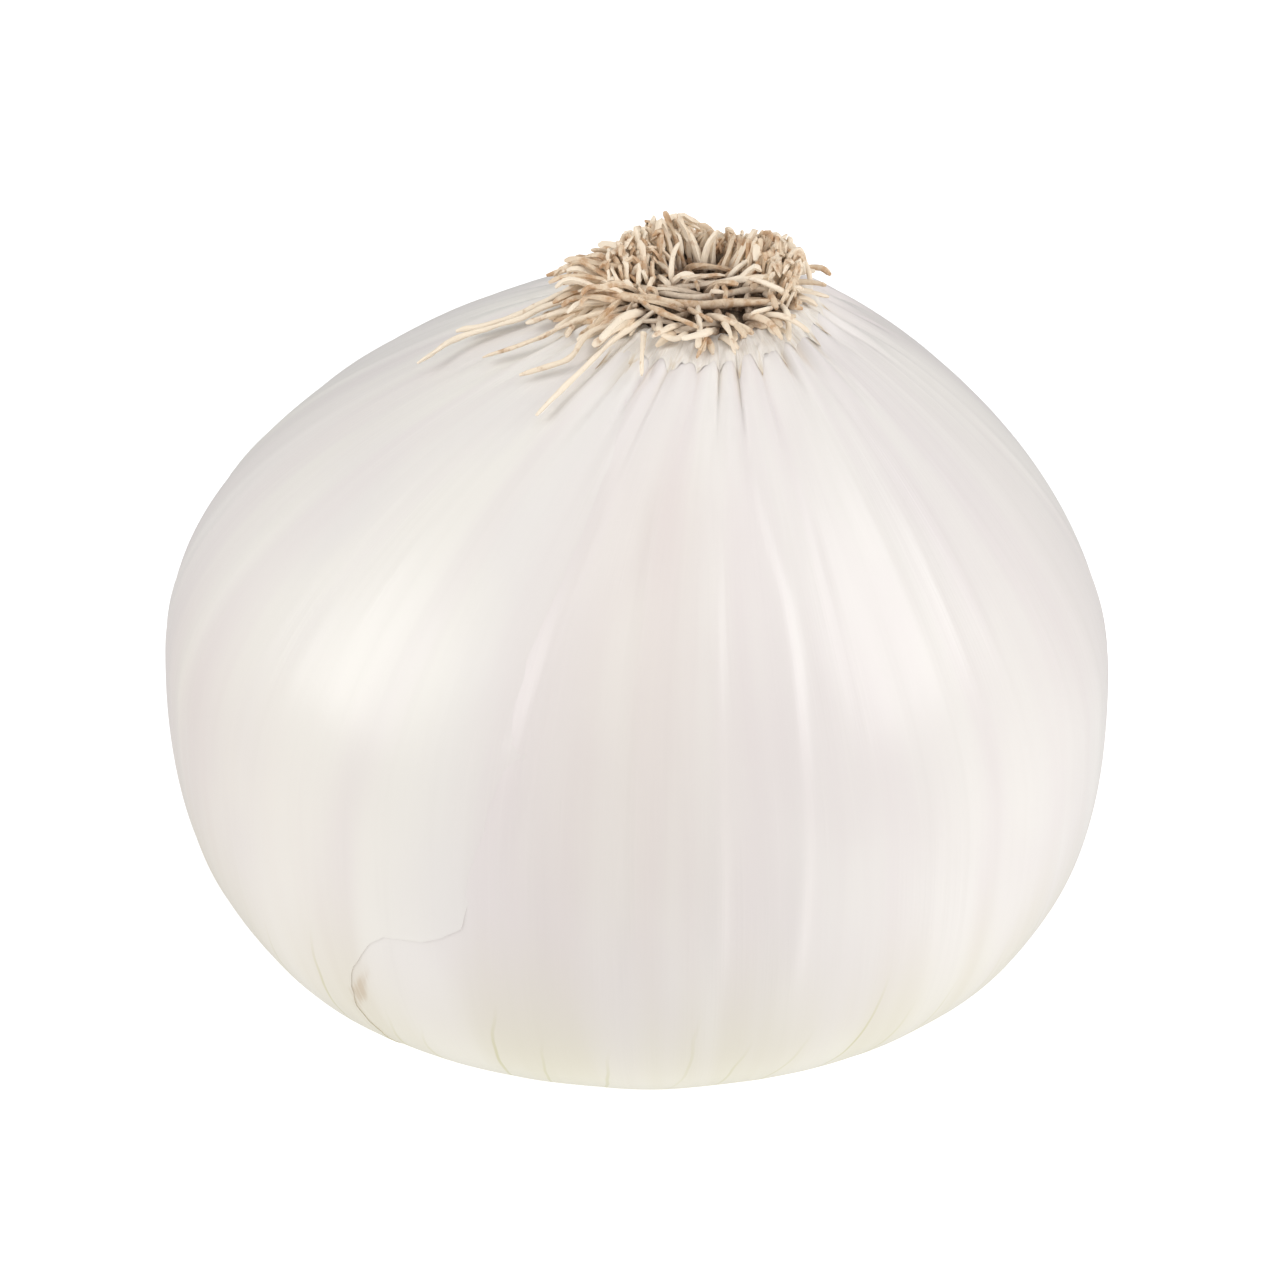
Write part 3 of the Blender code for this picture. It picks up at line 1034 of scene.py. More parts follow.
@dataclass(frozen=True)
class CorkFinish:
    """Dark crumbly cork of the root plate."""

    name: str = "plate_cork"
    dark: Colour = (0.10, 0.065, 0.04)
    light: Colour = (0.34, 0.24, 0.15)

    def make(self) -> bpy.types.Material:
        """The plate's material."""
        graph = Graph(self.name)
        where = graph.where()
        crumbs = graph.noise(where, 700.0, 4.0)
        pits = graph.noise(where, 2200.0, 3.0)
        colour = graph.over(self.dark, self.light, crumbs, 0.38, 0.68)
        graph.relief(graph.plus(crumbs, pits), 0.9, 0.0003)
        return graph.finish(colour, graph.band(pits, 0.3, 0.7, 0.8, 0.95))


@dataclass(frozen=True)
class FloorFinish:
    """Plain white studio floor."""

    name: str = "studio_floor"
    colour: Colour = (0.40, 0.40, 0.40)
    glow: float = 0.84

    def make(self) -> bpy.types.Material:
        """The floor's material, with the faintest unevenness in its gloss."""
        graph = Graph(self.name)
        rough = graph.band(graph.noise(graph.where(), 3.0, 2.0), 0.3, 0.7, 0.85, 0.95)
        glow = {"Emission_Color": (1.0, 1.0, 1.0), "Emission_Strength": self.glow}
        return graph.finish(self.colour, rough, Specular_IOR_Level=0.1, **glow)


@dataclass
class BulbSkin:
    """The whole skin of the bulb from the socket under the roots to the cut neck."""

    growth: Growth
    form: SkinForm
    around: int = 544
    upper_rings: int = 98
    lower_rings: int = 62
    neck_round: float = 0.9 * MM
    cut_wander: float = 0.10
    cut_crumple: float = 0.35 * MM
    dried_layers: Line = (
        (7.1, 0.0), (6.7, 0.7), (6.1, 0.8), (5.7, 0.05), (5.2, 0.0), (4.8, 0.9),
        (4.1, 1.0), (3.6, 0.1), (3.1, 0.0), (2.6, 1.0), (1.8, 0.9), (1.1, 0.1),
    )
    name: str = "bulb_skin"

    def _profile(self) -> list[Ring]:
        """Rings from the socket's middle to the neck's as (run, radius, height, cut)."""
        growth = self.growth
        floor = growth.rim_height - growth.socket_depth
        inner = growth.rim_radius - growth.socket_wall
        rings = [
            (0.0, inner * 0.5, floor, 0.0),
            (0.0, inner, floor, 0.0),
            (0.0, inner, growth.rim_height - 0.4 * MM, 0.0),
            (0.0, inner + 0.2 * MM, growth.rim_height - 0.05 * MM, 0.0),
        ]
        for i in range(self.upper_rings):
            run = growth.belly_run * i / self.upper_rings
            rings.append((run, *growth.place(run), 0.0))
        span = growth.neck_run - growth.belly_run
        for i in range(self.lower_rings + 1):
            run = growth.belly_run + span * i / self.lower_rings
            rings.append((run, *growth.place(run), 0.0))
        return rings + self._neck_rings()

    def _neck_rings(self) -> list[Ring]:
        """Rings of the trimmed neck: its edge and the edges of the dried layers inside it."""
        end = self.growth.neck_run
        foot = self.growth.foot_radius
        rings = [(end, foot + self.neck_round, self.neck_round, 0.3), (end, foot, 0.0, 0.8)]
        return rings + [(end, radius * MM, height * MM, 1.0) for radius, height in self.dried_layers]

    def build(self) -> bpy.types.Object:
        """Model the skin from a grid wrapped round the bulb and closed at both poles.

        Returns:
            The skin's object.
        """
        rings = self._profile()
        piece = new_grid(self.name, self.around, len(rings) + 1)
        marks = SkinMarks(self.form)
        for vertex in piece.data.vertices:
            azimuth = wrapped(vertex.co.x)
            number = round((1.0 - vertex.co.y) / 2.0 * (len(rings) + 1)) - 1
            run, radius, height, dried = self._ring(rings, number)
            rise = self.form.rise(azimuth, run, radius) if 0.0 < run < self.growth.neck_run else 0.0
            if dried:
                crumple = Wave(3.0, 1.0).at(azimuth, radius / MM)
                radius *= 1.0 + self.cut_wander * crumple
                height = max(height + self.cut_crumple * crumple * dried, 0.0) if height else 0.0
            vertex.co = self.growth.grown(radius, height, azimuth, rise)
            marks.add(azimuth, run, dried)
        marks.keep(piece.data)
        close_seams(piece)
        finish_mesh(piece, 60.0)
        return piece

    @staticmethod
    def _ring(rings: Sequence[Ring], number: int) -> Ring:
        """The ring of this number, or a closing point at either end.

        Args:
            rings: All rings in order.
            number: -1 for the top pole and len(rings) for the bottom one.

        Returns:
            The ring's (run, radius, height, cut).
        """
        if number < 0:
            return 0.0, 0.0, rings[0][2], 0.0
        if number >= len(rings):
            return rings[-1][0], 0.0, 0.2 * MM, 1.0
        return rings[number]

    def dress(self, piece: bpy.types.Object) -> None:
        """Give the skin its finish and its place in the frame."""
        finish = SkinFinish(
            name="inner_skin",
            body=(0.745, 0.70, 0.675),
            cream=(0.775, 0.74, 0.705),
            blush=(0.73, 0.672, 0.66),
            shade=(0.69, 0.655, 0.615),
        )
        coat(piece, finish.make())
        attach(piece, "root")
        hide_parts("bulb")


@dataclass
class OuterLayer:
    """The outermost dry skin, torn away over the front so that its edge shows."""

    growth: Growth
    form: SkinForm
    thickness: float = 0.09 * MM
    lift: float = -0.02 * MM
    edge_curl: float = 0.02 * MM
    curl_width: float = 1.1
    flush: float = 0.14 * MM
    flush_width: float = 2.2
    notch: float = 42.0
    loose_from: Span = (55.0, 61.0)
    tear_ragged: float = 0.35
    columns: int = 190
    row_step: float = 0.75
    back_edge: float = 78.0
    back_wander: float = 4.0
    name: str = "outer_skin_layer"
    tear: Line = (
        (1.5, 250.0), (6.6, 252.2), (9.9, 254.7), (14.0, 256.5), (20.0, 256.5), (25.6, 256.0),
        (33.5, 254.2), (40.2, 254.0), (41.6, 252.9), (42.4, 255.3), (44.0, 254.2), (47.9, 252.8),
        (52.0, 251.8), (58.2, 249.3), (60.8, 248.0), (62.3, 245.4), (63.3, 242.6), (63.6, 240.0),
        (64.0, 236.8), (65.2, 234.9), (66.8, 233.4), (69.0, 231.3), (72.0, 229.5), (75.3, 228.4),
        (80.0, 228.9), (86.0, 226.0), (96.0, 229.0), (109.5, 226.0),
    )

    def _rows(self) -> list[float]:
        """Runs of the rows in mm, close together where the tear turns sideways."""
        rows = [self.tear[0][0]]
        for (start, first), (end, last) in zip(self.tear, self.tear[1:]):
            radius = self.growth.place(start * MM)[0] / MM
            across = math.radians(last - first) * radius
            count = max(math.ceil(math.hypot(end - start, across) / self.row_step), 1)
            rows += [start + (end - start) * (i + 1) / count for i in range(count)]
        return rows

    def build(self) -> bpy.types.Object:
        """Model the layer from a flat grid wrapped round the bulb.

        Returns:
            The layer's object.
        """
        rows = self._rows()
        piece = new_grid(self.name, self.columns, len(rows) - 1)
        marks = SkinMarks(self.form)
        for vertex in piece.data.vertices:
            across = (vertex.co.x + 1.0) / 2.0
            run = rows[round((vertex.co.y + 1.0) / 2.0 * (len(rows) - 1))]
            ragged = 1.1 * ripple(run, 0.35, (2.0, 0.0)) + 0.4 * ripple(run, 1.3, (8.0, 0.0))
            tear = between(self.tear, run) + self.tear_ragged * ragged
            back = self.back_edge + self.back_wander * ripple(run, 0.06, (5.0, 1.0)) + ragged
            degrees = back + (tear - back) * across
            azimuth = math.radians(degrees)
            radius = self.growth.place(run * MM)[0]
            edge = min(tear - degrees, degrees - back) * math.pi / 180.0 * radius / MM
            curl = bump(edge, self.curl_width) * (0.55 + 0.9 * ripple(run, 0.22, (3.0, 4.0)))
            loose = max(0.6 * bump(run - self.notch, 1.6), smoothstep(*self.loose_from, run))
            level = max(curl, 0.0) * self.edge_curl * loose
            level -= (1.0 - loose) * (1.0 - smoothstep(0.0, self.flush_width, edge)) * self.flush
            vertex.co = self.form.point(azimuth, run * MM, self.lift + level)
            marks.add(azimuth, run * MM)
        marks.keep(piece.data)
        finish_mesh(piece, 40.0)
        self._thicken(piece)
        return piece

    def _thicken(self, piece: bpy.types.Object) -> None:
        """Give the sheet its thickness outwards, as one closed shell."""
        middle = piece.data.polygons[len(piece.data.polygons) // 2]
        outward = middle.center.dot(middle.normal) - self.growth.belly_height * middle.normal.z
        bpy.context.view_layer.objects.active = piece
        wall = piece.modifiers.new("wall", "SOLIDIFY")
        wall.thickness = self.thickness
        wall.offset = 1.0 if outward > 0.0 else -1.0
        bpy.ops.object.modifier_apply(modifier=wall.name)
        finish_mesh(piece, 40.0)

    def dress(self, piece: bpy.types.Object) -> None:
        """Give the layer its finish and its place in the frame."""
        finish = SkinFinish(
            name="outer_skin",
            body=(0.755, 0.72, 0.69),
            cream=(0.785, 0.755, 0.705),
            blush=(0.735, 0.685, 0.665),
            shade=(0.70, 0.67, 0.625),
        )
        coat(piece, finish.make())
        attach(piece, "root")


@dataclass
class Collar:
    """Ragged papery remains of old skin between the roots and the pleats."""

    growth: Growth
    form: SkinForm
    around: int = 900
    across: int = 42
    inner: float = 7.7
    outer: float = 11.3
    tip: float = 2.5
    lump: float = 0.50
    curl: float = 0.18
    clear: float = 0.05
    inner_lift: float = 0.25
    thickness: float = 0.10
    name: str = "papery_collar"

    def _reach(self, azimuth: float) -> float:
        """Run in mm of the collar's torn edge, longest in the valleys between the pleats."""
        number, crest = self.form.pleat(azimuth)
        spin = Vector((math.cos(azimuth) * 5.0, math.sin(azimuth) * 5.0, 2.0))
        tip = (1.0 - crest) ** 1.8 * self.tip * (self.form.neck_sizes[number] - 0.3)
        ragged = 0.9 * noise.noise(spin) + 0.5 * noise.noise(spin * 4.1)
        return self.outer - self.growth.rim_radius / MM + tip + ragged

    def build(self) -> bpy.types.Object:
        """Model the collar from a grid wrapped into a ring and pressed on the shoulder.

        Returns:
            The collar's object.
        """
        piece = new_grid(self.name, self.around, self.across)
        grain, tips = [], []
        for vertex in piece.data.vertices:
            azimuth, turn = wrapped(vertex.co.x), wrapped(vertex.co.y)
            out = (1.0 + math.cos(turn)) / 2.0
            vertex.co = self._place(azimuth, out, math.sin(turn))
            grain.append((math.cos(azimuth), math.sin(azimuth), out * 0.1))
            tips.append(out**2 * smoothstep(1.8, 4.4, self._reach(azimuth)))
        store_vectors(piece.data, "grain", grain)
        store(piece.data, "tip", tips)
        close_seams(piece)
        finish_mesh(piece, 60.0)
        return piece

    def _place(self, azimuth: float, out: float, side: float) -> Vector:
        """World point of the collar.

        Args:
            azimuth: In radians.
            out: Share of the way from the inner to the torn edge.
            side: 1 on the top face and -1 underneath.

        Returns:
            The point in the frame.
        """
        growth = self.growth
        start = self.inner - growth.rim_radius / MM
        run = start + (self._reach(azimuth) - start) * out
        spin = Vector((math.cos(azimuth) * 8.0, math.sin(azimuth) * 8.0, run * 0.7))
        wave = noise.noise(spin) + 0.5 * noise.noise(spin * 2.3)
        curl = self.curl * smoothstep(0.8, 1.0, out) * max(wave, 0.0)
        lumps = self.lump * max(wave + 0.15, 0.0) * (1.0 - smoothstep(0.35, 0.95, out))
        lift = (self.clear + lumps + curl + 0.5 * side * self.thickness) * MM
        if run < 0.0:
            radius = growth.rim_radius + run * MM
            lift += self.inner_lift * MM * min(-run, 1.0)
            return growth.grown(radius, growth.rim_height, azimuth, lift)
        return self.form.point(azimuth, run * MM, lift)

    def dress(self, piece: bpy.types.Object) -> None:
        """Give the collar its finish and its place in the frame."""
        coat(piece, CollarFinish().make())
        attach(piece, "root")


@dataclass
class CorkPlate:
    """The crumbly root plate in its socket."""

    growth: Growth
    around: int = 160
    rings: int = 60
    rough: float = 0.45 * MM
    sunk: float = 0.1 * MM
    grades: tuple[tuple[float, float, float], ...] = ((1.0, 9.0, 4.0), (0.6, 22.0, 1.0))
    name: str = "cork_plate"

    def build(self) -> bpy.types.Object:
        """Model the plate from a round primitive pressed into its socket.

        Returns:
            The plate's object.
        """
        deselect()
        bpy.ops.mesh.primitive_uv_sphere_add(segments=self.around, ring_count=self.rings, radius=1.0)
        piece = bpy.context.active_object
        piece.name = self.name
        growth = self.growth
        base = growth.rim_height - growth.socket_depth + growth.seat_gap
        for vertex in piece.data.vertices:
            azimuth = math.atan2(vertex.co.y, vertex.co.x)
            share = min(math.hypot(vertex.co.x, vertex.co.y) ** 0.8, 1.0)
            distance = growth.plate_radius * share
            crumbs = 0.0
            for grade, pace, lane in self.grades:
                place = Vector((vertex.co.x * pace, vertex.co.y * pace, lane))
                crumbs += grade * noise.noise(place)
            height = base
            if vertex.co.z > -0.05:
                height = growth.plate_height(distance) + self.rough * crumbs * (1.0 - share**4)
                height -= self.sunk
            vertex.co = growth.grown(distance, height, azimuth)
        finish_mesh(piece, 60.0)
        return piece

    def dress(self, piece: bpy.types.Object) -> None:
        """Give the plate its finish and its place in the frame."""
        coat(piece, CorkFinish().make())
        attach(piece, "root")
        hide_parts("root_plate")


class Habit(Enum):
    """The ways that a short root lies."""

    WALL = "wall"
    CURLED = "curled"
    DRAPED = "draped"
    LAID = "laid"
    FLANK = "flank"


@dataclass
class Fibre:
    """One root as a path with its thickness and tone."""

    path: list[Vector]
    radius: float
    tone: float


@dataclass
class FibreBundle:
    """Many root fibres as one mesh of closed, slightly flattened and twisted tubes."""

    growth: Growth
    name: str
    sides: int = 7
    fibres: list[Fibre] = field(default_factory=list)
    wide: float = 1.18
    narrow: float = 0.80
    knots: float = 0.22
    taper: float = 0.25
    tip_taper: float = 0.35
    twist: float = 2.2

    def _ring(
        self, centre: Vector, heading: Vector, side: Vector, radius: float, spin: float
    ) -> list[Vector]:
        """Corners of one cross-section.

        Args:
            centre: Middle of the section.
            heading: Direction of the path.
            side: Direction across the path.
            radius: Half thickness.
            spin: Turn of the flat side, in radians.

        Returns:
            The corners in order.
        """
        other = heading.cross(side).normalized()
        corners = []
        for i in range(self.sides):
            angle = TURN * i / self.sides
            wide = math.cos(angle) * self.wide
            narrow = math.sin(angle) * self.narrow
            x = wide * math.cos(spin) - narrow * math.sin(spin)
            y = wide * math.sin(spin) + narrow * math.cos(spin)
            corners.append(centre + (side * x + other * y) * radius)
        return corners

    def _tube(self, fibre: Fibre, start: int) -> tuple[list[Vector], list[tuple[int, ...]]]:
        """Corners and faces of one fibre.

        Args:
            fibre: The fibre to model.
            start: Number of the first corner in the whole mesh.

        Returns:
            Its corners and its faces.
        """
        path = fibre.path
        side = Vector((0.3, 0.9, 0.2))
        corners: list[Vector] = []
        last = len(path) - 1
        for i, centre in enumerate(path):
            heading = (path[min(i + 1, last)] - path[max(i - 1, 0)]).normalized()
            side = (side - heading * side.dot(heading)).normalized()
            share = i / last
            knots = 1.0 + self.knots * noise.noise(centre * 900.0)
            taper = 1.0 - self.taper * share - self.tip_taper * smoothstep(0.94, 1.0, share)
            spin = self.twist * noise.noise(centre * 250.0)
            corners += self._ring(centre, heading, side, fibre.radius * knots * taper, spin)
        faces: list[tuple[int, ...]] = []
        for i in range(last):
            for j in range(self.sides):
                a = start + i * self.sides + j
                b = start + i * self.sides + (j + 1) % self.sides
                faces.append((a, b, b + self.sides, a + self.sides))
        faces.append(tuple(start + j for j in reversed(range(self.sides))))
        faces.append(tuple(start + last * self.sides + j for j in range(self.sides)))
        return corners, faces

    def build(self) -> bpy.types.Object:
        """Model all fibres of the bundle as one mesh.

        Returns:
            The bundle's object.
        """
        corners: list[Vector] = []
        faces: list[tuple[int, ...]] = []
        tones: list[float] = []
        for fibre in self.fibres:
            more, sheets = self._tube(fibre, len(corners))
            corners += more
            faces += sheets
            tones += [fibre.tone] * len(more)
        mesh = bpy.data.meshes.new(self.name)
        mesh.from_pydata(corners, [], faces)
        piece = bpy.data.objects.new(self.name, mesh)
        bpy.context.scene.collection.objects.link(piece)
        store(mesh, "tone", tones)
        # The finish paints shade on the fibres by this height, darkest where they touch the plate.
        store(mesh, "height", [self._height(corner) for corner in corners])
        finish_mesh(piece, 70.0)
        return piece

    def _height(self, corner: Vector) -> float:
        """How far a corner stands clear of the plate, as a share."""
        distance = self.growth.root_end_distance(corner)
        if distance > self.growth.rim_radius:
            return 1.0
        above = (corner.z - self.growth.plate_height(distance)) / MM
        return max(smoothstep(0.0, 2.5, above), smoothstep(7.6, 9.4, distance / MM))

    def dress(self, piece: bpy.types.Object, material: bpy.types.Material, nodes: Sequence[str]) -> None:
        """Give the bundle its finish and its place in the frame.

        Args:
            piece: The bundle's object.
            material: The fibres' material.
            nodes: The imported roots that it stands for.
        """
        piece.data.materials.append(material)
        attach(piece, "root")
        if nodes:
            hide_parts(*nodes)


@dataclass
class RootPaths:
    """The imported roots' own paths: the chosen ones first and then those standing between them."""

    growth: Growth
    radius: float = 0.27 * MM
    gap: float = 0.15 * MM
    standing: int = 38
    length: Span = (4.2 * MM, 8.2 * MM)
    ceiling: float = 6.6 * MM
    step: float = 0.8 * MM
    golden: float = math.radians(137.5)
    scatter: float = 0.2
    sway: float = 0.25
    lean: float = 1.0
    curl: float = 0.16
    droop: float = 0.26
    seed: int = 11
    chosen: tuple[Waypoints, ...] = (
        ((190, 6.8, 0.6), (178, 12.4, 0.2), (179, 15.2, 0.0), (178, 19.4, 0.0), (182, 22.6, 0.0)),
        ((163, 7.4, 0.5), (171, 12.0, 0.3), (176, 16.0, 0.0), (173, 20.0, 0.0)),
        ((202, 7.6, 0.6), (189, 11.4, 0.3), (184, 14.8, 0.0)),
        ((214, 7.2, 0.3), (199, 11.6, 0.0), (199, 14.4, 0.0), (193, 18.4, 0.0)),
        ((222, 8.2, 0.0), (212, 11.4, 0.0), (218, 14.4, 0.0), (211, 17.2, 0.0)),
        ((230, 7.2, 0.6), (226, 12.4, 0.0), (228, 19.4, 0.0)),
        ((150, 5.6, 0.5), (143, 12.4, 0.2), (145, 15.6, 0.0)),
        ((236, 9.6, 0.1), (250, 13.4, 0.0)),
        ((186, 9.6, 2.0), (214, 6.4, 1.9), (262, 4.6, 1.7), (318, 6.0, 1.8), (332, 6.8, 1.9)),
        ((182, 8.6, 2.3), (202, 5.0, 2.3), (262, 3.2, 2.3), (342, 5.2, 2.2), (358, 9.8, 1.8)),
        ((262, 4.4, 0.0), (268, 7.4, 0.9), (269, 10.2, 0.0)),
        ((226, 5.6, 0.0), (243, 8.8, 0.2), (256, 9.6, 0.4), (261, 8.0, 0.0)),
        ((343, 6.0, 0.2), (327, 8.6, 0.5), (315, 11.2, 0.0)),
        ((112, 3.6, 0.0), (118, 4.4, 4.0), (126, 5.2, 8.2)),
        ((128, 6.0, 0.0), (122, 5.8, 4.2), (110, 5.4, 8.0), (102, 5.8, 8.8)),
        ((146, 4.8, 0.0), (140, 5.6, 4.0), (140, 6.8, 7.4)),
    )

    @staticmethod
    def smooth(knots: Sequence[Vector], spacing: float) -> list[Vector]:
        """Points on a smooth curve through the knots.

        Args:
            knots: Two or more points.
            spacing: Distance between the new points.

        Returns:
            The new points, ends included.
        """
        ends = [2 * knots[0] - knots[1]] + list(knots) + [2 * knots[-1] - knots[-2]]
        points = [knots[0]]
        for i in range(1, len(ends) - 2):
            before, start, end, after = ends[i - 1 : i + 3]
            count = max(round((end - start).length / spacing), 1)
            for j in range(1, count + 1):
                t = j / count
                bend = (end - before) + t * (2 * before - 5 * start + 4 * end - after)
                bend += t * t * (3 * start - before - 3 * end + after)
                points.append(start + 0.5 * t * bend)
        return points

    def over(self, azimuth: float, distance: float, lift: float) -> Vector:
        """World point above the plate or the shoulder.

        Args:
            azimuth: In degrees.
            distance: From the plate's axis, in metres.
            lift: Distance outwards in metres.

        Returns:
            The point in the frame.
        """
        height = self.growth.shoulder_height(distance)
        return self.growth.grown(distance, height, math.radians(azimuth), lift)

    def _chosen_path(self, waypoints: Sequence[tuple[float, float, float]]) -> list[Vector]:
        """Path of a root with a place of its own."""
        on_skin = self.growth.pleat_height + self.growth.seat_gap + self.radius
        layer_height = 2 * self.radius + self.gap
        knots = []
        for azimuth, distance, layer in waypoints:
            knots.append(self.over(azimuth, distance * MM, on_skin + layer * layer_height))
        return self.smooth(knots, 1.5 * self.step)

    def _standing_path(self, number: int, chance: random.Random) -> list[Vector]:
        """Path of a short root that rises from the plate, leans outwards and curls."""
        growth = self.growth
        azimuth = number * self.golden + chance.gauss(0.0, self.scatter)
        share = min(math.sqrt((number + 0.5) / self.standing) + chance.uniform(0.0, self.scatter), 1.0)
        distance = (growth.plate_radius - 2 * self.radius) * share
        lift = self.radius + growth.seat_gap
        point = growth.grown(distance, growth.plate_height(distance), azimuth, lift)
        heading = Vector((chance.gauss(0, self.sway), chance.gauss(0, self.sway), 1.0))
        heading += compass(azimuth)[0] * self.lean * share
        turn = Vector((chance.gauss(0, self.curl), chance.gauss(0, self.curl), 0.0))
        turn.z = chance.uniform(-self.droop, 0.0)
        points = [point]
        for _ in range(round(chance.uniform(*self.length) / self.step)):
            heading = (heading.normalized() + turn).normalized()
            point = point + heading * self.step
            points.append(point)
        return points

    def _dense(self, path: Sequence[Vector]) -> list[Vector]:
        """Points close enough together to measure clearances."""
        points = [path[0]]
        for start, end in zip(path, path[1:]):
            count = max(math.ceil((end - start).length / self.radius), 1)
            points += [start.lerp(end, j / count) for j in range(1, count + 1)]
        return points

    def _clears_skin(self, point: Vector) -> bool:
        """Whether a root's middle line here stays above the plate and the shoulder."""
        growth = self.growth
        distance = growth.root_end_distance(point)
        lift = self.radius + growth.seat_gap
        if distance > growth.plate_radius - self.radius:
            lift += growth.pleat_height
        top = growth.rim_height + self.ceiling
        return growth.shoulder_height(distance) + lift * 0.99 <= point.z <= top

    def _clears_roots(self, points: Sequence[Vector], placed: Sequence[Vector]) -> bool:
        """Whether a path keeps its gap to every root placed before it."""
        tree = KDTree(len(placed))
        for index, point in enumerate(placed):
            tree.insert(point, index)
        tree.balance()
        clearance = 2.5 * self.radius + self.gap
        return all(tree.find(point)[2] >= clearance for point in points)

    def all(self) -> list[list[Vector]]:
        """Paths of all packed roots, in the order of their names."""
        chance = random.Random(self.seed)
        paths = [self._chosen_path(waypoints) for waypoints in self.chosen]
        placed = [point for path in paths for point in self._dense(path)]
        while len(paths) < len(self.chosen) + self.standing:
            path = self._standing_path(len(paths) - len(self.chosen), chance)
            points = self._dense(path)
            if all(self._clears_skin(point) for point in points) and self._clears_roots(points, placed):
                paths.append(path)
                placed += points
        return paths


@dataclass
class FineRoots:
    """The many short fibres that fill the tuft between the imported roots.

    Attributes:
        growth: The bulb's own form.
        counts: How many fibres lie each way.
        crest: Height in mm over the rim that the tuft reaches, by the distance right of its axis.
        brow: The same height by azimuth in degrees, low where the tuft is open in front.
        recede: How much lower the crest is for each mm towards the back.
        own: Roots with a place of their own, in mm right of the axis, behind it and over the rim.
        wall: Azimuths in degrees between which the fibres stand that rise to the crest.
        flank: The same for the longer ones that lean out on the left.
        front: The same for the draped ones.
        left: The same for those laid to the left.
        sunk: Depth in mm of a fibre's foot in the plate.
        below: How far in mm a fibre's middle line stays below the crest.
        step: Length in mm between two points of a fibre.
        seed: Start of the random draws.
    """

    growth: Growth
    counts: tuple[tuple[Habit, int], ...] = (
        (Habit.CURLED, 110),
        (Habit.WALL, 260),
        (Habit.DRAPED, 24),
        (Habit.LAID, 40),
        (Habit.FLANK, 44),
    )
    crest: Line = (
        (-14.8, 0.8), (-13.4, 3.3), (-12.8, 3.9), (-11.7, 4.4), (-10.6, 5.1), (-9.4, 5.9),
        (-8.2, 6.3), (-7.4, 6.9), (-5.7, 8.2), (-3.6, 9.5), (-2.4, 9.3), (-1.1, 8.6),
        (1.2, 7.5), (4.6, 7.7), (8.1, 6.7), (9.1, 5.4), (10.4, 1.6),
    )
    brow: Line = (
        (0.0, 5.6), (25.0, 6.9), (150.0, 6.9), (166.0, 6.0), (182.0, 4.6), (202.0, 2.6), (225.0, 2.0),
        (315.0, 2.0), (338.0, 3.2), (360.0, 5.6),
    )
    recede: float = 0.53
    own: tuple[Waypoints, ...] = (
        ((0.2, 1.7, 0.8), (0.1, 2.4, 2.3), (0.5, 3.4, 3.9), (1.4, 4.6, 4.8)),
        ((0.15, 2.1, 1.8), (-0.5, 3.3, 3.3), (-1.2, 4.6, 4.5)),
        ((-3.3, -0.8, 1.6), (-2.0, -0.7, 2.9), (-0.8, -0.6, 2.9)),
        ((-3.9, -1.4, 1.7), (0.4, -1.2, 2.2), (3.3, -1.0, 2.6), (6.2, -1.0, 2.9)),
        ((3.2, -1.8, 1.1), (5.2, -0.9, 2.0), (9.0, -0.6, 1.3), (11.6, -0.4, 0.5)),
        ((8.0, 0.2, 0.6), (9.0, 1.0, 3.0), (8.9, 1.2, 4.6), (8.0, 0.6, 4.2), (7.6, 0.3, 2.4)),
        ((-7.6, 0.6, 0.4), (-5.2, 0.2, 1.7), (-3.0, 0.9, 2.0), (-1.8, 0.2, 1.0)),
    )
    wall: Span = (-20.0, 197.0)
    flank: Span = (136.0, 197.0)
    front: Span = (150.0, 390.0)
    left: Span = (158.0, 226.0)
    sunk: float = 0.2
    below: float = 0.35
    step: float = 0.55
    seed: int = 23

    def ceiling(self, point: Vector) -> float:
        """Height in mm over the rim that the tuft reaches over a place."""
        x = (point.x - self.growth.root_end_offset) / MM
        y = point.y / MM
        behind = between(self.crest, x) - self.recede * max(y, 0.0)
        return min(behind, between(self.brow, math.degrees(math.atan2(y, x)) % 360.0))

    def _foot(self, habit: Habit, chance: random.Random) -> tuple[float, float]:
        """Azimuth in radians and distance in mm of a fibre's foot from the plate's axis."""
        plate = self.growth.plate_radius / MM
        if habit is Habit.CURLED:
            return chance.uniform(0.0, TURN), plate * math.sqrt(chance.uniform(0.0, 0.95))
        if habit is Habit.DRAPED:
            return math.radians(chance.uniform(*self.front)), plate * chance.uniform(0.84, 1.0)
        return math.radians(chance.uniform(*self.left)), plate * chance.uniform(0.55, 1.0)

    def _start(self, distance: float, azimuth: float) -> Vector:
        """Foot of a fibre in the plate, at a distance in mm from its axis."""
        height = self.growth.plate_height(distance * MM) - self.sunk * MM
        return self.growth.grown(distance * MM, height, azimuth)

    def _top(self, distance: float, azimuth: float, share: float) -> Vector:
        """Highest point of a fibre, at a share of the height that the tuft reaches there."""
        top = self.growth.grown(distance * MM, self.growth.rim_height, azimuth)
        top.z += (self.ceiling(top) * share - self.below) * MM
        return top

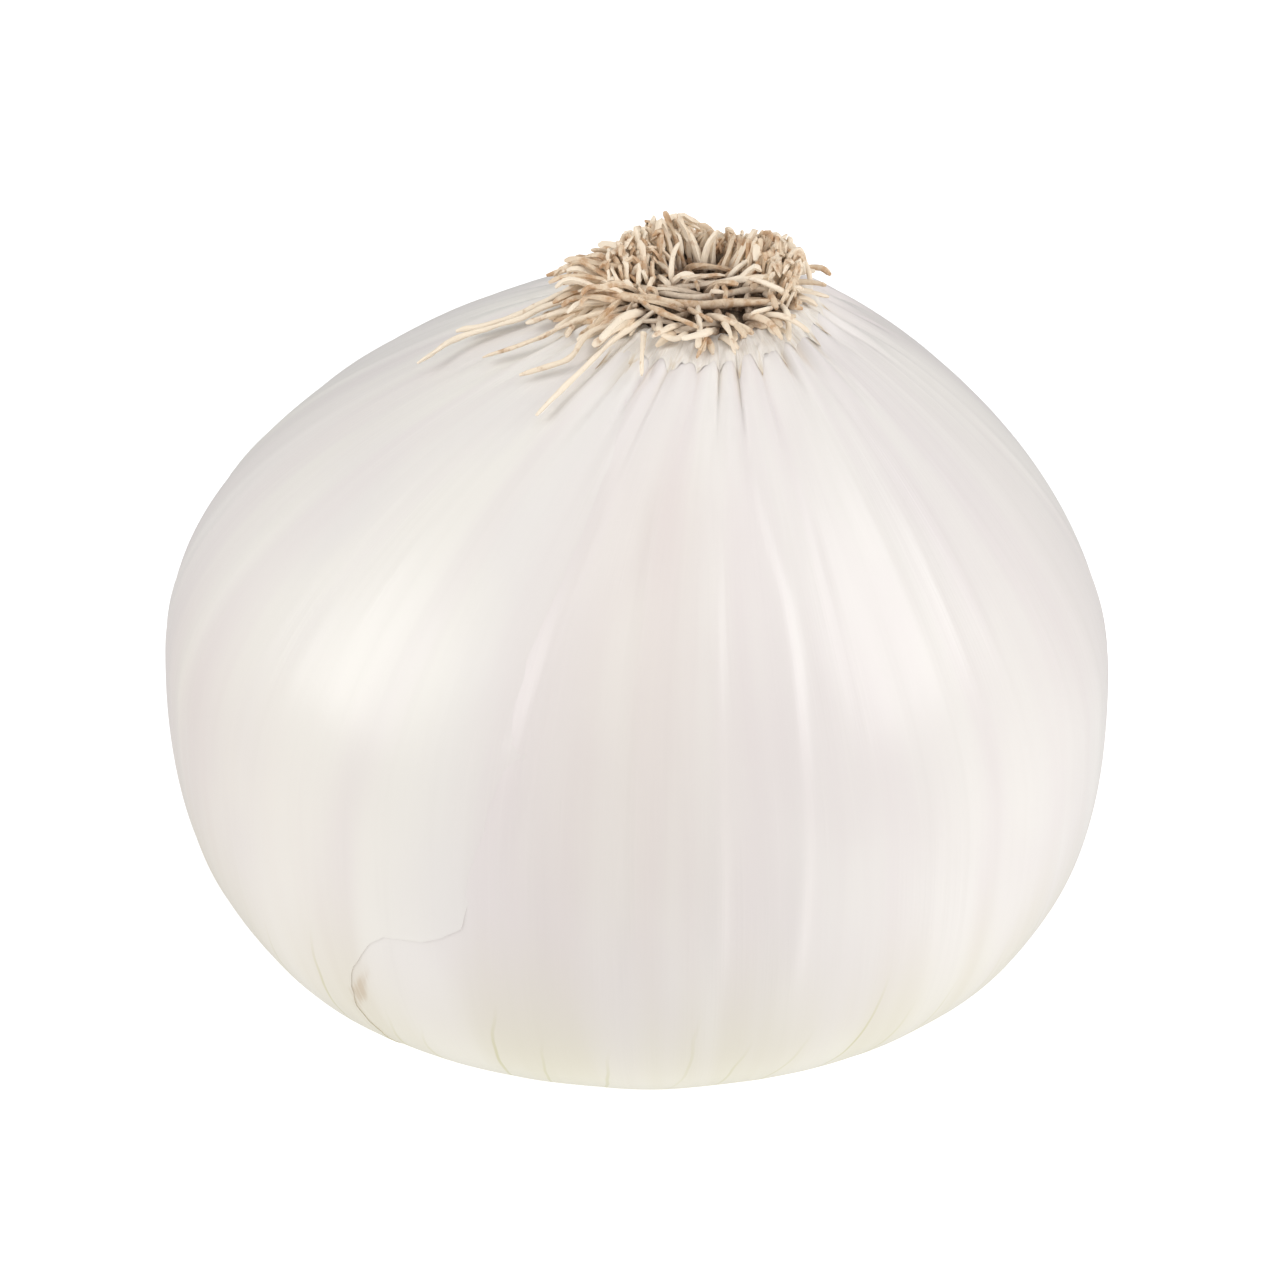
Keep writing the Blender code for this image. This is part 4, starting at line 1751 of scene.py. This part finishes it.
    @staticmethod
    def _heading(habit: Habit, azimuth: float, chance: random.Random) -> tuple[Vector, Vector, float]:
        """First heading, change of heading at each step, and length in mm."""
        outward, along = compass(azimuth)
        upward = Vector((0.0, 0.0, 1.0))
        shake = Vector((chance.gauss(0, 1), chance.gauss(0, 1), chance.gauss(0, 1)))
        if habit is Habit.CURLED:
            heading = shake * 0.7 + upward * 1.0 + outward * 0.1
            turn = Vector((chance.gauss(0, 0.22), chance.gauss(0, 0.22), -0.12))
            return heading, turn, chance.uniform(3.0, 6.0)
        if habit is Habit.DRAPED:
            heading = outward + along * chance.gauss(0.0, 0.45) + upward * 0.45
            return heading, along * chance.gauss(0.0, 0.12) - upward * 0.22, chance.uniform(1.6, 3.4)
        left = Vector((-1.0, -0.12, 0.0))
        heading = outward * 0.5 + left + along * chance.gauss(0.0, 0.3) + upward * 0.25
        return heading, along * chance.gauss(0.0, 0.05) - upward * 0.10, chance.uniform(4.0, 9.0)

    def _wall_path(self, chance: random.Random) -> list[Vector]:
        """Path of a fibre that rises to the tuft's top and curls over there."""
        azimuth = math.radians(chance.uniform(*self.wall))
        outward, along = compass(azimuth)
        reach = 8.9 - 4.4 * chance.random() ** 1.3
        foot = min(reach - chance.uniform(0.0, 3.0), 0.96 * self.growth.plate_radius / MM)
        start = self._start(foot, azimuth + chance.gauss(0.0, 0.20))
        top = self._top(reach, azimuth, chance.uniform(0.66, 1.0))
        middle = start.lerp(top, chance.uniform(0.4, 0.6))
        middle += (along * chance.gauss(0.0, 0.55) + outward * chance.uniform(-0.3, 0.5)) * MM
        over = along * chance.gauss(0.0, 0.8) + outward * chance.uniform(-0.5, 0.7)
        over.z = -chance.uniform(0.15, 1.1)
        return RootPaths.smooth([start, middle, top, top + over * MM], self.step * MM)

    def _flank_path(self, chance: random.Random) -> list[Vector]:
        """Path of a longer fibre that leans out over the left flank and droops at its end."""
        azimuth = math.radians(chance.uniform(*self.flank))
        outward, along = compass(azimuth)
        foot = chance.uniform(4.8, 8.0)
        start = self._start(foot, azimuth + chance.gauss(0.0, 0.15))
        reach = chance.uniform(9.4, 12.8)
        top = self._top(reach, azimuth, chance.uniform(0.35, 1.0))
        middle = start.lerp(top, chance.uniform(0.4, 0.6)) + along * chance.gauss(0.0, 0.5) * MM
        middle.z += chance.uniform(0.2, 0.9) * MM
        over = outward * chance.uniform(0.6, 1.8) + along * chance.gauss(0.0, 0.5)
        over.z = -chance.uniform(0.3, 1.0)
        return RootPaths.smooth([start, middle, top, top + over * MM], self.step * MM)

    def _path(self, habit: Habit, chance: random.Random) -> list[Vector]:
        """Path of one fine root."""
        if habit is Habit.WALL:
            return self._wall_path(chance)
        if habit is Habit.FLANK:
            return self._flank_path(chance)
        azimuth, distance = self._foot(habit, chance)
        heading, turn, length = self._heading(habit, azimuth, chance)
        low = 3.0 if habit is Habit.CURLED else between(self.brow, math.degrees(azimuth) % 360.0)
        top = self.growth.rim_height + low * MM * chance.uniform(0.7, 1.0)
        clear = chance.uniform(0.30, 0.75) * MM
        point = self._start(distance, azimuth)
        points = [point]
        for _ in range(max(round(length / self.step), 4)):
            heading = (heading.normalized() + turn).normalized()
            point = self._kept(point + heading * self.step * MM, top, clear)
            points.append(point)
        return points

    def _kept(self, point: Vector, top: float, clear: float) -> Vector:
        """The point, held clear of the skin and below the top of the tuft."""
        floor = self.growth.shoulder_height(self.growth.root_end_distance(point)) + clear
        kept = point.copy()
        kept.z = max(min(kept.z, top), floor)
        return kept

    def fibres(self) -> list[Fibre]:
        """All fine roots."""
        chance = random.Random(self.seed)
        made = []
        axis = Vector((self.growth.root_end_offset, 0.0, self.growth.rim_height))
        for places in self.own:
            knots = [axis + Vector(place) * MM for place in places]
            path = RootPaths.smooth(knots, 0.4 * MM)
            made.append(Fibre(path, chance.uniform(0.34, 0.42) * MM, chance.uniform(0.0, 0.3)))
        for habit, count in self.counts:
            for _ in range(count):
                path = self._path(habit, chance)
                made.append(Fibre(path, chance.uniform(0.27, 0.42) * MM, chance.random()))
        return made


@dataclass
class RootTuft:
    """All roots: long ones over the shoulder, standing ones and the fine ones between them."""

    growth: Growth
    spacing: float = 0.4 * MM
    wander: float = 0.13 * MM
    sway: float = 0.42 * MM
    free_height: float = 0.6 * MM
    half_thickness: float = 0.3 * MM
    least_press: float = 0.15
    stout: tuple[tuple[int, float], ...] = ((8, 1.75), (9, 1.30), (10, 1.40), (11, 1.25))
    seed: int = 7

    def _natural(self, path: Sequence[Vector], ceiling: Callable[[Vector], float]) -> list[Vector]:
        """A packed root's path with a slight wander, kept inside the tuft's outline.

        Args:
            path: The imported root's middle line.
            ceiling: Height in mm over the rim that the tuft reaches over a place.

        Returns:
            The new path.
        """
        rim = self.growth.rim_height
        moved = []
        for point in RootPaths.smooth(path, self.spacing):
            sway = noise.noise_vector(point * 420.0) * self.wander
            sway += noise.noise_vector(point * 150.0) * self.sway
            sway.z = max(sway.z, 0.0)
            moved.append(point + sway)
        low = rim + self.free_height
        room = [
            (ceiling(point) * MM - self.half_thickness) / (point.z - rim)
            for point in moved
            if point.z > rim + 2.0 * self.free_height
        ]
        press = max(min([1.0, *room]), self.least_press)
        for point in moved:
            if point.z > low:
                point.z = low + (point.z - low) * press
        return moved

    def build(self) -> None:
        """Model, dress and report the tuft's pieces."""
        noise.seed_set(self.seed)
        chance = random.Random(self.seed)
        paths = RootPaths(self.growth)
        fine = FineRoots(self.growth)
        own = len(paths.chosen)
        thicker = dict(self.stout)
        fibres = []
        for number, path in enumerate(paths.all()):
            radius = paths.radius * chance.uniform(1.05, 1.4)
            radius = paths.radius * thicker[number] if number in thicker else radius
            fibres.append(Fibre(self._natural(path, fine.ceiling), radius, chance.uniform(0.1, 0.9)))
        material = RootFinish().make()
        names = [f"root_{number:02d}" for number in range(1, len(fibres) + 1)]
        parts = (
            ("long_roots", fibres[:own], names[:own], 8),
            ("standing_roots", fibres[own:], names[own:], 8),
            ("fine_roots", fine.fibres(), [], 5),
        )
        for name, members, nodes, sides in parts:
            bundle = FibreBundle(self.growth, name, sides, members)
            piece = bundle.build()
            bundle.dress(piece, material, nodes)
            report(piece)


@dataclass(frozen=True)
class Lamp:
    """One soft box.

    Attributes:
        name: Its name.
        direction: From the bulb to the lamp.
        distance: In metres.
        size: Side in metres.
        power: In watts.
    """

    name: str
    direction: tuple[float, float, float]
    distance: float
    size: float
    power: float

    def place(self, target: Vector) -> None:
        """Stand the lamp and turn it to the target."""
        light = bpy.data.lights.new(self.name, "AREA")
        light.shape = "SQUARE"
        light.size = self.size
        light.energy = self.power
        lamp = bpy.data.objects.new(self.name, light)
        away = Vector(self.direction).normalized()
        lamp.location = target + away * self.distance
        lamp.rotation_euler = away.to_track_quat("Z", "Y").to_euler()
        bpy.context.scene.collection.objects.link(lamp)


@dataclass
class Studio:
    """Floor, lamps, surroundings and camera."""

    growth: Growth
    elevation: float = math.radians(28.0)
    distance: float = 2.5
    frame_width: float = 118.56 * MM
    frame_centre: Span = (-1.08 * MM, 2.17 * MM)
    sensor: float = 36.0
    surroundings: Span = (1.36, 0.44)
    surroundings_range: Span = (-0.90, 0.15)
    surroundings_lean: tuple[float, float, float] = (-0.12, 0.40, 1.0)
    floor_size: float = 30.0
    floor_faces: int = 24
    wall_height: float = 24.0
    wall_radius: float = 14.7
    wall_sides: int = 96
    clip: Span = (0.05, 60.0)
    lamps: tuple[Lamp, ...] = (
        Lamp("left_box", (-0.92, -0.22, 0.60), 0.7, 0.46, 2.7),
        Lamp("right_box", (0.93, -0.22, 0.62), 0.7, 0.46, 2.6),
        Lamp("top_box", (0.1, -0.3, 1.0), 0.9, 0.6, 1.15),
    )

    def _floor(self) -> None:
        """A wide plain floor that only the camera and the shadows see."""
        floor = new_grid("studio_floor", self.floor_faces, self.floor_faces, self.floor_size)
        floor.data.materials.append(FloorFinish().make())
        for ray in ("diffuse", "glossy", "transmission"):
            setattr(floor, "visible_" + ray, False)

    def _backdrop(self) -> None:
        """A white wall far round the floor that only the camera sees."""
        deselect()
        bpy.ops.mesh.primitive_cylinder_add(
            vertices=self.wall_sides,
            radius=self.wall_radius,
            depth=self.wall_height,
            end_fill_type="NOTHING",
        )
        wall = bpy.context.active_object
        wall.name = "studio_backdrop"
        wall.data.materials.append(FloorFinish("studio_backdrop", glow=1.0).make())
        for ray in ("diffuse", "glossy", "transmission", "shadow"):
            setattr(wall, "visible_" + ray, False)

    def _world(self) -> None:
        """White surroundings, brighter from below and from the front, as over a white table."""
        world = bpy.data.worlds.new("studio")
        world.use_nodes = True
        tree = world.node_tree
        where = tree.nodes.new("ShaderNodeTexCoord")
        lean = tree.nodes.new("ShaderNodeVectorMath")
        lean.operation = "DOT_PRODUCT"
        level = tree.nodes.new("ShaderNodeMapRange")
        level.interpolation_type = "SMOOTHSTEP"
        for index, value in enumerate((*self.surroundings_range, *self.surroundings), start=1):
            level.inputs[index].default_value = value
        back = tree.nodes["Background"]
        tree.links.new(where.outputs["Generated"], lean.inputs[0])
        lean.inputs[1].default_value = self.surroundings_lean
        tree.links.new(lean.outputs["Value"], level.inputs[0])
        tree.links.new(level.outputs[0], back.inputs["Strength"])
        back.inputs["Color"].default_value = (1.0, 1.0, 1.0, 1.0)
        bpy.context.scene.world = world

    def _camera(self) -> None:
        """A long lens looking a little down on the bulb."""
        belly = Vector((0.0, 0.0, self.growth.belly_height))
        up = Vector((0.0, math.sin(self.elevation), math.cos(self.elevation)))
        away = Vector((0.0, -math.cos(self.elevation), math.sin(self.elevation)))
        target = belly + Vector((self.frame_centre[0], 0.0, 0.0)) + up * self.frame_centre[1]
        data = bpy.data.cameras.new("studio_camera")
        data.sensor_width = self.sensor
        data.lens = self.sensor * self.distance / self.frame_width
        data.clip_start, data.clip_end = self.clip
        camera = bpy.data.objects.new("studio_camera", data)
        camera.location = target + away * self.distance
        camera.rotation_euler = away.to_track_quat("Z", "Y").to_euler()
        bpy.context.scene.collection.objects.link(camera)
        bpy.context.scene.camera = camera

    def build(self) -> None:
        """Set the studio up."""
        self._floor()
        self._backdrop()
        self._world()
        self._camera()
        for lamp in self.lamps:
            lamp.place(Vector((0.0, 0.0, self.growth.belly_height)))
        bpy.context.scene.view_settings.view_transform = "Standard"


def report(piece: bpy.types.Object) -> None:
    """Log a finished piece and the size of its mesh."""
    LOG.info("%s: %d faces", piece.name, len(piece.data.polygons))


def main() -> None:
    """Build the onion and its studio."""
    logging.basicConfig(level=logging.INFO, format="%(message)s")
    growth = Growth()
    form = SkinForm(growth)
    skins = (BulbSkin(growth, form), OuterLayer(growth, form), Collar(growth, form))
    for part in (*skins, CorkPlate(growth)):
        piece = part.build()
        part.dress(piece)
        report(piece)
    RootTuft(growth).build()
    Studio(growth).build()


if __name__ == "__main__":
    main()
